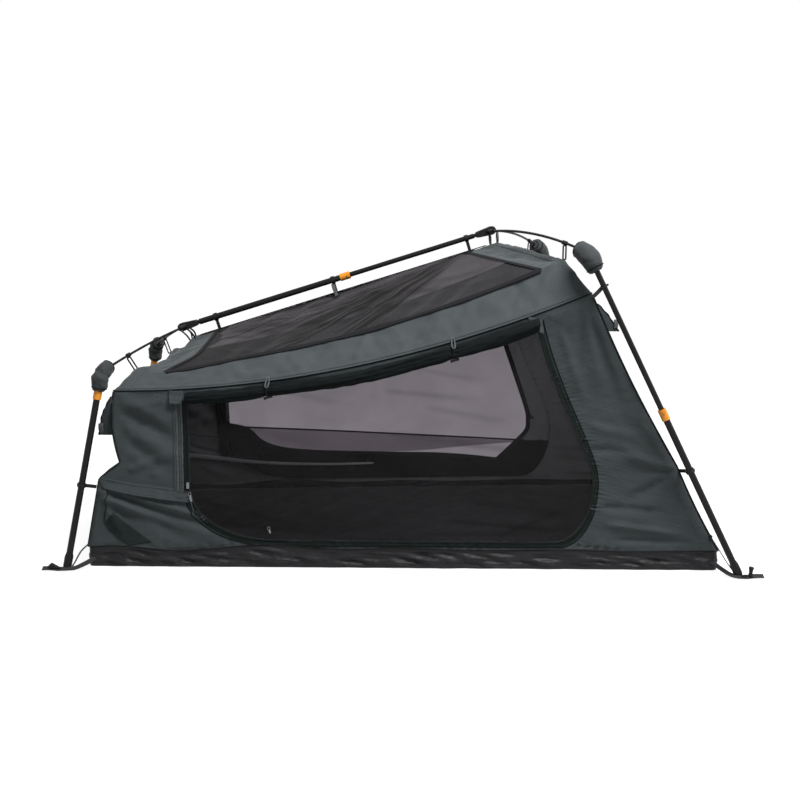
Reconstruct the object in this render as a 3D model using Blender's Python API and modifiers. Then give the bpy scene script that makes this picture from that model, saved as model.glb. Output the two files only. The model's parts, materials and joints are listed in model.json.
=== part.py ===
# Frame tent for one sleeper: a fabric body hung under a telescoping ridge pole on four folding legs.
# Metres, +Z up, +X towards the head end, the near side at -Y, the origin on the ground mid way along the tub.
import bpy
import bmesh
from math import atan2, cos, pi, radians, sin
from mathutils import Matrix, Vector

# Clearances
TOUCH = 0.0003
SEAM = 0.0004
FORK_GAP = 0.0008

# Telescoping pole sets, all five alike
OUTER_RADIUS = 0.011
TUBE_WALL = 0.0012
INNER_RADIUS = 0.009
LEG_TUBE_LENGTH = 0.600
RIDGE_OUTER_LENGTH = 0.575
RIDGE_INNER_LENGTH = 0.600
TUBE_SIDES = 16

# Collar at the mouth of each outer tube, with its push button
COLLAR_RADIUS = 0.0138
COLLAR_LENGTH = 0.038
COLLAR_LIP = 0.014
BUTTON_BOSS_RADIUS = 0.0075
BUTTON_BOSS_RISE = 0.0015
BUTTON_RADIUS = 0.0048
BUTTON_STAND = 0.0035
BUTTON_TRAVEL = 0.003

# Foot cap on each leg
FOOT_CAP_RADIUS = 0.0145
FOOT_CAP_LENGTH = 0.045
FOOT_CAP_FLOOR = 0.0225

# How far the inner tubes go in: the foot legs' stand almost on the cap's floor
INNER_REST = 0.0115
HEAD_INSERTION = 0.063

# Hinge ends: an eye on the tube, a fork on the moulding
EYE_RADIUS = 0.0085
EYE_THICKNESS = 0.009
PIN_RADIUS = 0.003
CHEEK_RADIUS = 0.0115
CHEEK_WIDTH = 0.024
NECK_LENGTH = 0.015
NECK_DEPTH = 0.012
PLUG_LENGTH = 0.012
PIN_SHORT = 0.0012
SLOT_OVERCUT = 0.0055

# Ridge pivots and hubs
FOOT_PIVOT = Vector((-0.775, 0.0, 0.797))
HEAD_PIVOT = Vector((0.275, 0.0, 1.122))
HUB_LENGTH = 0.052
HUB_HEIGHT = 0.032
HUB_WIDTH = 0.042
HUB_EDGE = 0.003
SLEEVE_RADIUS = 0.0085
SLEEVE_LENGTH = 0.034
SLEEVE_DEPTH = 0.008
SLEEVE_ROOT = 0.002

# Spreader rods and elbows
ROD_RADIUS = 0.0045
ROD_STEPS = 14
ROD_HUB_PLACE = 0.0374
ROD_ELBOW_PLACE = 0.0187
ROD_ELBOW_OUT = 0.0072
FOOT_STAND = Vector((-1.148, -0.465))
HEAD_STAND = Vector((1.103, -0.57))
FOOT_LEAN = Vector((0.125, 0.065, 0.6335))
HEAD_LEAN = Vector((-0.513, 0.040, 1.0305))
FOOT_FOLD_SPREAD = radians(6)
ELBOW_BLOCK = 0.026
FOOT_ROD_BOW = 0.012
HEAD_ROD_BOW = 0.034
PAD_LENGTH = 0.098
PAD_WIDTH = 0.062
PAD_THICKNESS = 0.006
PAD_LEG_MOUTH = 0.0175
PAD_FIT = 0.0005
PAD_RISE = 0.010
PAD_ROD_END = 0.0204
PAD_LEG_END = 0.018

# Fabric body
FABRIC = 0.0025
MESH = 0.0014
TUB_HEIGHT = 0.066
TUB_FOOT_X = -1.085
TUB_HEAD_X = 1.058
TUB_FOOT_HALF = 0.436
TUB_HEAD_HALF = 0.505
TUB_SHEET = 0.003
EAVE_FOOT_X = -0.985
EAVE_HEAD_X = 0.603
EAVE_FOOT_HALF = 0.390
EAVE_HEAD_HALF = 0.490
EAVE_FOOT_Z = 0.602
EAVE_RISE = 0.334
RIDGE_DROP = 0.050
RIDGE_LIP_X = -0.790
RIDGE_PEAK_X = 0.346
BAND_FOOT_RISE = 0.062
BAND_HEAD_RISE = 0.137
BAND_FOOT_HALF = 0.290
BAND_HEAD_HALF = 0.420
BAND_FOOT_X = -0.923
BAND_HEAD_X = 0.519
MESH_FOOT_RIDGE_X = -0.690
MESH_FOOT_BAND_X = -0.745
MESH_HEAD_RIDGE_X = 0.228
MESH_HEAD_BAND_X = 0.448
FOOT_NOTCH = 0.060
FOOT_NOTCH_FADE = 0.09
FOOT_BOX_TOP = 0.43
NOTCH_DEEPEST = 0.55

# Door opening in each side wall
DOOR_FOOT_X = -0.730
DOOR_HEAD_X = 0.430
DOOR_BELLY_X = 0.627
DOOR_BELLY_Z = 0.294
DOOR_LOW_Z = 0.098
DOOR_DROP = 0.045
DOOR_FOOT_CURVE = 0.293
DOOR_FOOT_CURVE_HEIGHT = 0.182
DOOR_HEAD_CURVE = 0.127
DOOR_BELLY_HANDLE = 0.12
DOOR_HEAD_OUT = 0.07
DOOR_HEAD_DOWN = 0.26
DOOR_CUT_HALF = 0.2
DOOR_CUT_Y = 0.45
ROLL_RADIUS = 0.021
ROLL_DROP = 0.030
ROLL_STAND = 0.0008

# Mattress, hoods, clips, tethers and slider
MATTRESS_THICKNESS = 0.058
MATTRESS_MARGIN = 0.022
MATTRESS_EDGE = 0.016
HOOD_DROOP = 1.4
HOOD_TAPER = 0.06
HEAD_HOOD_HALF = 0.36
HEAD_HOOD_REACH = 0.062
HEAD_HOOD_FALL = 0.100
HEAD_HOOD_TOP = 0.030
HEAD_HOOD_STAND = 0.0033
FOOT_HOOD_HALF = 0.33
FOOT_HOOD_REACH = 0.055
FOOT_HOOD_FALL = 0.135
FOOT_HOOD_TOP = 0.020
FOOT_HOOD_STAND = 0.0026
CLIP_WALL = 0.003
CLIP_WIDTH = 0.014
CLIP_TAB = 0.005
CLIP_TAB_WIDTH = 0.0112
FOOT_RIDGE_CLIP_X = -0.700
HEAD_RIDGE_CLIP_X = 0.232
MIDDLE_CLIP_BACK = 0.053
FOOT_CLIP_Z = 0.288
HEAD_CLIP_Z = 0.360
FOOT_CLIP_STAND = 0.0040
HEAD_CLIP_STAND = 0.0024
STRAP_RADIUS = 0.003
STRAP_TAIL = 0.085
STRAP_INSET = 0.02
STRAP_SEAT = 0.0024
STRAP_EXIT = Vector((0.01, -0.02, -0.012))
STRAP_LEAD = 0.02
STRAP_TURN = 0.03
STRAP_TAIL_OUT = 0.0107
SLIDER_HEIGHT = 0.022
SLIDER_WIDTH = 0.010
SLIDER_DEPTH = 0.006
SLIDER_Z = 0.285
SLIDER_SET = 0.006
SLIDER_STAND = 0.00055
SLIDER_EDGE = 0.0018
SLIDER_PROBE = 0.05

NEAR = 1
FAR = -1
SIDES = (("near", NEAR), ("far", FAR))
UP = Vector((0.0, 0.0, 1.0))
ACROSS = Vector((0.0, 1.0, 0.0))
LENGTHWAYS = Vector((1.0, 0.0, 0.0))

for old in list(bpy.data.objects):
    bpy.data.objects.remove(old, do_unlink=True)

tent_collection = bpy.data.collections.new("frame_tent")
bpy.context.scene.collection.children.link(tent_collection)


# Materials

def material(name, colour, roughness, metallic=0.0):
    made = bpy.data.materials.new(name)
    made.use_nodes = True
    shader = made.node_tree.nodes["Principled BSDF"]
    shader.inputs["Base Color"].default_value = (*colour, 1.0)
    shader.inputs["Roughness"].default_value = roughness
    shader.inputs["Metallic"].default_value = metallic
    return made


POLE_BLACK = ("pole_black", (0.02, 0.02, 0.022), 0.35, 0.6)
MOULDED_BLACK = ("moulded_black", (0.02, 0.02, 0.02), 0.45, 0.0)
ROD_BLACK = ("rod_black", (0.03, 0.03, 0.032), 0.5, 0.0)
BUTTON_ORANGE = ("button_orange", (0.87, 0.30, 0.01), 0.4, 0.0)
CANVAS_GREEN = ("canvas_green", (0.10, 0.13, 0.13), 0.9, 0.0)
PAD_GREEN = ("pad_green", (0.09, 0.11, 0.11), 0.95, 0.0)
MESH_BLACK = ("mesh_black", (0.03, 0.027, 0.028), 0.8, 0.0)
TUB_BLACK = ("tub_black", (0.018, 0.018, 0.019), 0.55, 0.0)
MATTRESS_GREY = ("mattress_grey", (0.04, 0.04, 0.043), 0.95, 0.0)
WEBBING_GREY = ("webbing_grey", (0.08, 0.085, 0.09), 0.85, 0.0)


# Building blocks

def mesh_object(mesh_data):
    holder = bpy.data.objects.new("piece", mesh_data)
    tent_collection.objects.link(holder)
    return holder


def frozen(source, weld=True):
    """The evaluated shape as a plain mesh in world space, facing out."""
    bpy.context.view_layer.update()
    evaluated = source.evaluated_get(bpy.context.evaluated_depsgraph_get())
    mesh_data = bpy.data.meshes.new_from_object(evaluated)
    mesh_data.transform(source.matrix_world)
    bpy.data.objects.remove(source, do_unlink=True)
    work = bmesh.new()
    work.from_mesh(mesh_data)
    if weld:
        bmesh.ops.remove_doubles(work, verts=work.verts, dist=0.00001)
    bmesh.ops.recalc_face_normals(work, faces=work.faces)
    work.to_mesh(mesh_data)
    work.free()
    return mesh_object(mesh_data)


def combined(base, tools, operation, solver="EXACT"):
    """One solid from a base and other solids, which are used up."""
    for tool in tools:
        change = base.modifiers.new("change", "BOOLEAN")
        change.operation = operation
        change.solver = solver
        change.object = tool
    shape = frozen(base, weld=False)
    for tool in tools:
        bpy.data.objects.remove(tool, do_unlink=True)
    return shape


def axis_frame(base, direction, across=ACROSS):
    """A matrix with local Z along the direction and local Y kept close to across, or to X on a pin."""
    along = direction.normalized()
    reference = LENGTHWAYS if abs(along.y) > 0.9 else across
    side = reference.cross(along).normalized()
    over = along.cross(side)
    turn = Matrix((side, over, along)).transposed().to_4x4()
    return Matrix.Translation(base) @ turn


def turned(outline, base, direction, closed=False, sides=TUBE_SIDES):
    """An outline of (radius, height) pairs turned about the direction."""
    mesh_data = bpy.data.meshes.new("outline")
    points = [(radius, 0.0, height) for radius, height in outline]
    edges = [(index, index + 1) for index in range(len(points) - 1)]
    if closed:
        edges.append((len(points) - 1, 0))
    mesh_data.from_pydata(points, edges, [])
    holder = mesh_object(mesh_data)
    screw = holder.modifiers.new("turn", "SCREW")
    screw.steps = sides
    screw.render_steps = sides
    screw.use_merge_vertices = True
    screw.merge_threshold = 0.00001
    holder.matrix_world = axis_frame(base, direction)
    return frozen(holder)


def bar(start, end, radius, sides=TUBE_SIDES):
    span = end - start
    outline = [(0.0, span.length), (radius, span.length), (radius, 0.0), (0.0, 0.0)]
    return turned(outline, start, span, sides=sides)


def block(centre, size, direction=UP, across=ACROSS):
    """A box of the given size, its local Z along the direction and its local Y close to across."""
    work = bmesh.new()
    bmesh.ops.create_cube(work, size=1.0)
    work.transform(axis_frame(centre, direction, across) @ Matrix.Diagonal((*size, 1.0)))
    mesh_data = bpy.data.meshes.new("block")
    work.to_mesh(mesh_data)
    work.free()
    return mesh_object(mesh_data)


def plate(outline, half_width, y_centre=0.0, edge=0.0):
    """A flat outline in X and Z, thickened along Y."""
    curve = bpy.data.curves.new("outline", "CURVE")
    curve.dimensions = "2D"
    curve.fill_mode = "BOTH"
    curve.extrude = half_width - edge
    curve.bevel_depth = edge
    curve.bevel_resolution = 1
    curve.offset = -edge
    spline = curve.splines.new("POLY")
    spline.points.add(len(outline) - 1)
    for point, (x, z) in zip(spline.points, outline):
        point.co = (x, z, 0.0, 1.0)
    spline.use_cyclic_u = True
    holder = mesh_object(curve)
    holder.matrix_world = Matrix.Translation((0.0, y_centre, 0.0)) @ Matrix.Rotation(pi / 2, 4, "X")
    return frozen(holder)


def tube_along(points, radius, resolution=2):
    curve = bpy.data.curves.new("route", "CURVE")
    curve.dimensions = "3D"
    curve.bevel_depth = radius
    curve.bevel_resolution = resolution
    curve.use_fill_caps = True
    spline = curve.splines.new("POLY")
    spline.points.add(len(points) - 1)
    for point, place in zip(spline.points, points):
        point.co = (*place, 1.0)
    return frozen(mesh_object(curve))


def bezier(first, first_handle, last_handle, last, steps):
    route = []
    for index in range(steps + 1):
        t = index / steps
        s = 1.0 - t
        route.append(first * s ** 3 + first_handle * 3 * s * s * t + last_handle * 3 * s * t * t + last * t ** 3)
    return route


def grid_shell(rows, thickness, keep=None):
    """A sheet through rows of points, thickened outwards."""
    work = bmesh.new()
    made = [[work.verts.new(point) for point in row] for row in rows]
    for i in range(len(rows) - 1):
        for j in range(len(rows[0]) - 1):
            if keep is None or keep(i, j):
                work.faces.new((made[i][j], made[i][j + 1], made[i + 1][j + 1], made[i + 1][j]))
    loose = [vertex for vertex in work.verts if not vertex.link_faces]
    bmesh.ops.delete(work, geom=loose, context="VERTS")
    bmesh.ops.remove_doubles(work, verts=work.verts, dist=0.00001)
    mesh_data = bpy.data.meshes.new("sheet")
    work.to_mesh(mesh_data)
    work.free()
    holder = mesh_object(mesh_data)
    skin = holder.modifiers.new("thickness", "SOLIDIFY")
    skin.thickness = thickness
    skin.offset = 1.0
    return frozen(holder)


def mirrored(point):
    return Vector((point.x, -point.y, point.z))


def on_side(point, side):
    return point if side == NEAR else mirrored(point)


def finished(shape, name, look, origin, smooth=35.0):
    shape.name = name
    shape.data.name = name
    shape.data.transform(Matrix.Translation(-origin))
    shape.location = origin
    shape.data.materials.clear()
    shape.data.materials.append(looks[look[0]])
    shape.data.shade_smooth()
    shape.data.set_sharp_from_angle(angle=radians(smooth))
    return shape


looks = {}
for look in (POLE_BLACK, MOULDED_BLACK, ROD_BLACK, BUTTON_ORANGE, CANVAS_GREEN, PAD_GREEN, MESH_BLACK,
             TUB_BLACK, MATTRESS_GREY, WEBBING_GREY):
    looks[look[0]] = material(*look)


# Hinge ends

def with_eye(tube, pivot, direction, pin_way=ACROSS):
    """The tube with a flat eye on a neck, bored for the hinge pin."""
    half = pin_way * EYE_THICKNESS / 2
    eye = bar(pivot - half, pivot + half, EYE_RADIUS)
    neck_length = NECK_LENGTH + PLUG_LENGTH / 2
    neck_size = (NECK_DEPTH, EYE_THICKNESS, neck_length)
    neck = block(pivot + direction * neck_length / 2, neck_size, direction, pin_way)
    hole = bar(pivot - half * 2, pivot + half * 2, PIN_RADIUS + TOUCH)
    return combined(combined(tube, [neck, eye], "UNION", "MANIFOLD"), [hole], "DIFFERENCE", "MANIFOLD")


def fork(pivot, root, pin_way):
    """Two cheeks on a root block, with the pin between them. The root points away from the tube."""
    half = pin_way * CHEEK_WIDTH / 2
    cheeks = bar(pivot - half, pivot + half, CHEEK_RADIUS)
    bridge_size = (CHEEK_RADIUS * 2, CHEEK_WIDTH, ELBOW_BLOCK)
    bridge = block(pivot + root * ELBOW_BLOCK / 2, bridge_size, root, pin_way)
    body = combined(cheeks, [bridge], "UNION", "MANIFOLD")
    slot_half = EYE_THICKNESS / 2 + FORK_GAP
    reach = CHEEK_RADIUS * 2
    slot_size = (reach * 2, slot_half * 2, reach + CHEEK_RADIUS + TOUCH)
    slot_centre = pivot - root * ((reach - CHEEK_RADIUS - TOUCH) / 2)
    slot = block(slot_centre, slot_size, root, pin_way)
    pin_half = half - pin_way * PIN_SHORT
    pin = bar(pivot - pin_half, pivot + pin_half, PIN_RADIUS)
    return combined(combined(body, [slot], "DIFFERENCE", "MANIFOLD"), [pin], "UNION", "MANIFOLD")


# Telescoping sets

def inner_tube(name, pivot, direction, length, pin_way=ACROSS):
    plug_base = NECK_LENGTH + PLUG_LENGTH
    end = NECK_LENGTH + length
    bore = INNER_RADIUS - TUBE_WALL
    outline = [(0.0, NECK_LENGTH), (INNER_RADIUS, NECK_LENGTH), (INNER_RADIUS, end), (bore, end),
               (bore, plug_base), (0.0, plug_base)]
    tube = turned(outline, pivot, direction)
    solid = with_eye(tube, pivot, direction, pin_way)
    return finished(solid, name, POLE_BLACK, pivot)


def outer_bore():
    return INNER_RADIUS + TOUCH


def button_place(mouth, inward):
    return mouth - inward * COLLAR_LIP / 2


def collar(name, mouth, inward, facing):
    """The sleeve over an outer tube's mouth. Inward points from the mouth down the outer tube."""
    over = COLLAR_LENGTH - COLLAR_LIP
    outline = [(COLLAR_RADIUS, over), (COLLAR_RADIUS, -COLLAR_LIP), (outer_bore(), -COLLAR_LIP),
               (outer_bore(), -TOUCH), (OUTER_RADIUS + TOUCH, -TOUCH), (OUTER_RADIUS + TOUCH, over)]
    sleeve = turned(outline, mouth, inward, closed=True)
    centre = button_place(mouth, inward)
    boss_top = COLLAR_RADIUS + BUTTON_BOSS_RISE
    boss_root = (outer_bore() + COLLAR_RADIUS) / 2
    boss = bar(centre + facing * boss_root, centre + facing * boss_top, BUTTON_BOSS_RADIUS - TOUCH * 2)
    hole = bar(centre, centre + facing * boss_top * 2, BUTTON_RADIUS + TOUCH)
    solid = combined(combined(sleeve, [boss], "UNION"), [hole], "DIFFERENCE")
    return finished(solid, name, BUTTON_ORANGE, mouth)


def lock_button(name, mouth, inward, facing):
    centre = button_place(mouth, inward)
    low = INNER_RADIUS + BUTTON_TRAVEL + TOUCH
    high = COLLAR_RADIUS + BUTTON_BOSS_RISE + BUTTON_STAND
    button = bar(centre + facing * low, centre + facing * high, BUTTON_RADIUS, sides=12)
    return finished(button, name, BUTTON_ORANGE, centre + facing * low)


def leg_frame(elbow, stand):
    """The foot's centre and the direction up the leg."""
    foot = Vector((stand.x, stand.y, FOOT_CAP_RADIUS))
    return foot, (elbow - foot).normalized()


def lower_tube(name, foot, upward):
    """A leg's outer tube with its domed foot cap."""
    bore = outer_bore()
    floor = FOOT_CAP_FLOOR
    dome = []
    dome_steps = 5
    for index in range(dome_steps + 1):
        angle = pi / 2 * index / dome_steps
        dome.append((FOOT_CAP_RADIUS * sin(angle), -FOOT_CAP_RADIUS * cos(angle)))
    shoulder = [(FOOT_CAP_RADIUS, FOOT_CAP_LENGTH - FOOT_CAP_RADIUS), (OUTER_RADIUS, FOOT_CAP_LENGTH)]
    barrel = [(OUTER_RADIUS, LEG_TUBE_LENGTH), (bore, LEG_TUBE_LENGTH), (bore, floor), (0.0, floor)]
    tube = turned(dome + shoulder + barrel, foot, upward)
    return finished(tube, name, POLE_BLACK, foot)


def elbow_above(stand, lean, leg_length):
    """The near elbow's pin, up the leaning leg from its foot."""
    return Vector((stand.x, stand.y, FOOT_CAP_RADIUS)) + lean.normalized() * leg_length


def fold_pin(leg_name, upward, side):
    """The hinge pin's direction. A foot leg's pin is square to the leg at rest and to the leg folded away."""
    if leg_name == "head":
        return ACROSS
    folded = on_side(Vector((cos(FOOT_FOLD_SPREAD), -sin(FOOT_FOLD_SPREAD), 0.0)), side)
    pin = folded.cross(upward).normalized()
    return pin if pin.y > 0 else -pin


pushed_in = FOOT_CAP_FLOOR + INNER_REST + LEG_TUBE_LENGTH + NECK_LENGTH
pulled_out = LEG_TUBE_LENGTH - HEAD_INSERTION + LEG_TUBE_LENGTH + NECK_LENGTH
foot_elbow = elbow_above(FOOT_STAND, FOOT_LEAN, pushed_in)
head_elbow = elbow_above(HEAD_STAND, HEAD_LEAN, pulled_out)

for leg_name, elbow_place, stand_place in (("foot", foot_elbow, FOOT_STAND), ("head", head_elbow, HEAD_STAND)):
    for side_name, side in SIDES:
        elbow = on_side(elbow_place, side)
        stand = Vector((stand_place.x, stand_place.y * side))
        foot, upward = leg_frame(elbow, stand)
        label = leg_name + "_leg_" + side_name
        mouth = foot + upward * LEG_TUBE_LENGTH
        outward = -ACROSS * side
        facing = (outward - upward * outward.dot(upward)).normalized()
        pin_way = fold_pin(leg_name, upward, side)
        inner_tube(label + "_upper_tube", elbow, -upward, LEG_TUBE_LENGTH, pin_way)
        lower_tube(label + "_lower_tube", foot, upward)
        collar(label + "_collar", mouth, -upward, facing)
        lock_button(label + "_button", mouth, -upward, facing)


# Ridge pole

ridge_direction = (HEAD_PIVOT - FOOT_PIVOT).normalized()
ridge_reach = NECK_LENGTH + RIDGE_OUTER_LENGTH
ridge_mouth = FOOT_PIVOT + ridge_direction * ridge_reach


def ridge_outer_tube():
    bore = outer_bore()
    plug_end = NECK_LENGTH + PLUG_LENGTH
    outline = [(0.0, NECK_LENGTH), (OUTER_RADIUS, NECK_LENGTH), (OUTER_RADIUS, ridge_reach), (bore, ridge_reach),
               (bore, plug_end), (0.0, plug_end)]
    tube = turned(outline, FOOT_PIVOT, ridge_direction)
    solid = with_eye(tube, FOOT_PIVOT, ridge_direction)
    return finished(solid, "ridge_outer_tube", POLE_BLACK, FOOT_PIVOT)


ridge_outer_tube()
inner_tube("ridge_inner_tube", HEAD_PIVOT, -ridge_direction, RIDGE_INNER_LENGTH)
collar("ridge_collar", ridge_mouth, -ridge_direction, -ACROSS)
lock_button("ridge_button", ridge_mouth, -ridge_direction, -ACROSS)


# Hubs, rods and elbows

def rod_route(hub_end, elbow_end, bow):
    rise = UP * bow
    span = elbow_end - hub_end
    return bezier(hub_end, hub_end + span / 3 + rise, elbow_end - span / 3 + rise, elbow_end, ROD_STEPS)


def lengthened(route, extra):
    start = route[0] + (route[0] - route[1]).normalized() * extra
    end = route[-1] + (route[-1] - route[-2]).normalized() * extra
    return [start] + route[1:-1] + [end]


def elbow_root(upward, pin_way):
    """The fork's root leans half way from the leg's own line to straight up, square to the pin."""
    root = upward + UP
    return (root - pin_way * root.dot(pin_way)).normalized()


def rod_ends(pivot, outwards, elbow, root):
    hub_end = pivot + outwards * ROD_HUB_PLACE - ACROSS * (HUB_WIDTH / 2) * (1 if elbow.y < 0 else -1)
    block_centre = elbow + root * ROD_ELBOW_PLACE
    inward = hub_end - block_centre
    return hub_end, block_centre + inward.normalized() * ROD_ELBOW_OUT


def hub(name, pivot, outwards, routes):
    """A long moulded body in line with the ridge, forked round the tube's eye, with a sleeve for each rod."""
    half = HUB_HEIGHT / 2
    lean = atan2(outwards.z, outwards.x)
    far_end = pivot + outwards * HUB_LENGTH
    outline = []
    arc_steps = 6
    for centre, radius, start in ((far_end, half, lean - pi / 2), (pivot, CHEEK_RADIUS, lean + pi / 2)):
        for index in range(arc_steps + 1):
            angle = start + pi * index / arc_steps
            outline.append((centre.x + radius * cos(angle), centre.z + radius * sin(angle)))
    body = plate(outline, HUB_WIDTH / 2, edge=HUB_EDGE)
    slot_half = EYE_THICKNESS / 2 + FORK_GAP
    slot_depth = half + CHEEK_RADIUS + SLOT_OVERCUT
    slot_size = (HUB_HEIGHT * 2, slot_half * 2, slot_depth)
    slot_centre = pivot - outwards * (slot_depth / 2 - CHEEK_RADIUS)
    slot = block(slot_centre, slot_size, outwards)
    body = combined(body, [slot], "DIFFERENCE", "MANIFOLD")
    pin_half = ACROSS * (HUB_WIDTH / 2 - PIN_SHORT)
    pin = bar(pivot - pin_half, pivot + pin_half, PIN_RADIUS)
    parts = [pin]
    for route in routes:
        lead = (route[1] - route[0]).normalized()
        parts.append(bar(route[0] - lead * SLEEVE_DEPTH, route[0] + lead * SLEEVE_LENGTH, SLEEVE_RADIUS))
    body = combined(body, parts, "UNION", "MANIFOLD")
    bores = [tube_along(lengthened(route, TOUCH)[:5], ROD_RADIUS + TOUCH) for route in routes]
    body = combined(body, bores, "DIFFERENCE", "MANIFOLD")
    return finished(body, name, MOULDED_BLACK, pivot)


def elbow_socket(name, elbow, root, pin_way, route):
    body = fork(elbow, root, pin_way)
    lead = (route[-2] - route[-1]).normalized()
    sleeve = bar(route[-1] - lead * SLEEVE_ROOT, route[-1] + lead * SLEEVE_LENGTH, SLEEVE_RADIUS)
    body = combined(body, [sleeve], "UNION", "MANIFOLD")
    bore = tube_along(lengthened(route, TOUCH)[-5:], ROD_RADIUS + TOUCH)
    return finished(combined(body, [bore], "DIFFERENCE", "MANIFOLD"), name, MOULDED_BLACK, elbow)


def elbow_pad(name, elbow, upward, root, route):
    """A padded sleeve over the elbow, open where the rod goes in and where the leg comes out."""
    lead = (route[-2] - route[-1]).normalized()
    sleeve_end = route[-1] + lead * PAD_ROD_END
    leg_point = elbow - upward * PAD_LEG_END
    long_way = (sleeve_end - leg_point).normalized()
    centre = elbow + root * PAD_RISE
    shells = []
    for shrink in (0.0, PAD_THICKNESS):
        work = bmesh.new()
        bmesh.ops.create_uvsphere(work, u_segments=12, v_segments=8, radius=1.0)
        size = (PAD_WIDTH / 2 - shrink, PAD_WIDTH / 2 - shrink, PAD_LENGTH / 2 - shrink)
        work.transform(axis_frame(centre, long_way) @ Matrix.Diagonal((*size, 1.0)))
        mesh_data = bpy.data.meshes.new("pad")
        work.to_mesh(mesh_data)
        work.free()
        shells.append(mesh_object(mesh_data))
    mouth_reach = PAD_LENGTH
    rod_mouth = bar(route[-1], sleeve_end + lead * mouth_reach, SLEEVE_RADIUS + PAD_FIT)
    leg_mouth = bar(elbow, elbow - upward * mouth_reach, PAD_LEG_MOUTH)
    shape = combined(shells[0], [shells[1], rod_mouth, leg_mouth], "DIFFERENCE")
    return finished(shape, name, PAD_GREEN, elbow, smooth=60.0)


for end_name, pivot, outwards, elbow_place, stand_place, bow in (
        ("foot", FOOT_PIVOT, -ridge_direction, foot_elbow, FOOT_STAND, FOOT_ROD_BOW),
        ("head", HEAD_PIVOT, ridge_direction, head_elbow, HEAD_STAND, HEAD_ROD_BOW)):
    routes = []
    for side_name, side in SIDES:
        elbow = on_side(elbow_place, side)
        foot, upward = leg_frame(elbow, Vector((stand_place.x, stand_place.y * side)))
        pin_way = fold_pin(end_name, upward, side)
        root = elbow_root(upward, pin_way)
        hub_end, elbow_end = rod_ends(pivot, outwards, elbow, root)
        route = rod_route(hub_end, elbow_end, bow)
        routes.append(route)
        rod = tube_along(route, ROD_RADIUS)
        finished(rod, end_name + "_rod_" + side_name, ROD_BLACK, route[0])
        elbow_socket(end_name + "_elbow_" + side_name, elbow, root, pin_way, route)
        elbow_pad(end_name + "_pad_" + side_name, elbow, upward, root, route)
    hub(end_name + "_hub", pivot, outwards, routes)


# Fabric surfaces

def share(value, low, high):
    return (value - low) / (high - low)


def blend(low, high, t):
    return low + (high - low) * t


def eave_point(x):
    t = share(x, EAVE_FOOT_X, EAVE_HEAD_X)
    return Vector((x, -blend(EAVE_FOOT_HALF, EAVE_HEAD_HALF, t), EAVE_FOOT_Z + EAVE_RISE * t * t))


def band_point(x):
    """The line where the steep roof band meets the shallow roof."""
    t = share(x, BAND_FOOT_X, BAND_HEAD_X)
    rise = blend(BAND_FOOT_RISE, BAND_HEAD_RISE, t)
    return Vector((x, -blend(BAND_FOOT_HALF, BAND_HEAD_HALF, t), eave_point(x).z + rise))


def ridge_point(x):
    pole = FOOT_PIVOT + ridge_direction * ((x - FOOT_PIVOT.x) / ridge_direction.x)
    return Vector((x, 0.0, pole.z - RIDGE_DROP))


def tub_rim(u):
    x = blend(TUB_FOOT_X, TUB_HEAD_X, u)
    return Vector((x, -blend(TUB_FOOT_HALF, TUB_HEAD_HALF, u), TUB_HEIGHT))


def notch(v):
    """How far the end pulls in above the foot box."""
    if v <= FOOT_BOX_TOP:
        return 0.0
    if v < NOTCH_DEEPEST:
        return share(v, FOOT_BOX_TOP, NOTCH_DEEPEST)
    return (1.0 - share(v, NOTCH_DEEPEST, 1.0)) ** 2


def wall_point(u, v):
    eave = eave_point(blend(EAVE_FOOT_X, EAVE_HEAD_X, u))
    point = tub_rim(u).lerp(eave, v)
    point.x += FOOT_NOTCH * notch(v) * max(0.0, 1.0 - u / FOOT_NOTCH_FADE)
    return point


WALL_LEVELS = (0.0, 0.22, FOOT_BOX_TOP, NOTCH_DEEPEST, 0.66, 0.78, 0.9, 1.0)
WALL_STATIONS = [0.0, 0.03, 0.06, FOOT_NOTCH_FADE] + [blend(FOOT_NOTCH_FADE, 1.0, k / 14) for k in range(1, 15)]


def wall_rows(side, trim):
    """Wall points from the tub rim up, pulled in by the seam allowance at the four edges."""
    rows = []
    for v in WALL_LEVELS:
        row = []
        for u in WALL_STATIONS:
            inset_u = min(max(u, trim / 2), 1.0 - trim / 2)
            point = wall_point(inset_u, v)
            point.z += trim * (1 if v == 0.0 else 0) - trim * (1 if v == 1.0 else 0)
            row.append(on_side(point, side))
        rows.append(row)
    if side == FAR:
        rows.reverse()
    return rows


def door_outline(inset):
    """The door zip's line, anticlockwise in X and Z, drawn in by the inset."""
    low = DOOR_LOW_Z + inset
    foot = DOOR_FOOT_X + inset
    belly = DOOR_BELLY_X - inset
    head = DOOR_HEAD_X - inset
    outline = []
    steps = 6
    for index in range(steps + 1):
        angle = pi + pi / 2 * index / steps
        outline.append((foot + DOOR_FOOT_CURVE * (1 + cos(angle)),
                        low + DOOR_FOOT_CURVE_HEIGHT * (1 + sin(angle))))
    rise = DOOR_BELLY_Z - low
    for index in range(steps + 1):
        angle = -pi / 2 + pi / 2 * index / steps
        outline.append((belly - DOOR_HEAD_CURVE * (1 - cos(angle)), low + rise * (1 + sin(angle))))
    top_head = Vector((head, 0.0, eave_point(head).z - DOOR_DROP - inset))
    belly_handle = Vector((belly, 0.0, DOOR_BELLY_Z + DOOR_BELLY_HANDLE))
    head_handle = top_head + Vector((DOOR_HEAD_OUT, 0.0, -DOOR_HEAD_DOWN))
    side_run = bezier(Vector((belly, 0.0, DOOR_BELLY_Z)), belly_handle, head_handle, top_head, 8)
    outline += [(point.x, point.z) for point in side_run[1:]]
    for index in range(1, steps + 1):
        x = blend(head, foot, index / steps)
        outline.append((x, eave_point(x).z - DOOR_DROP - inset))
    return outline


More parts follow.
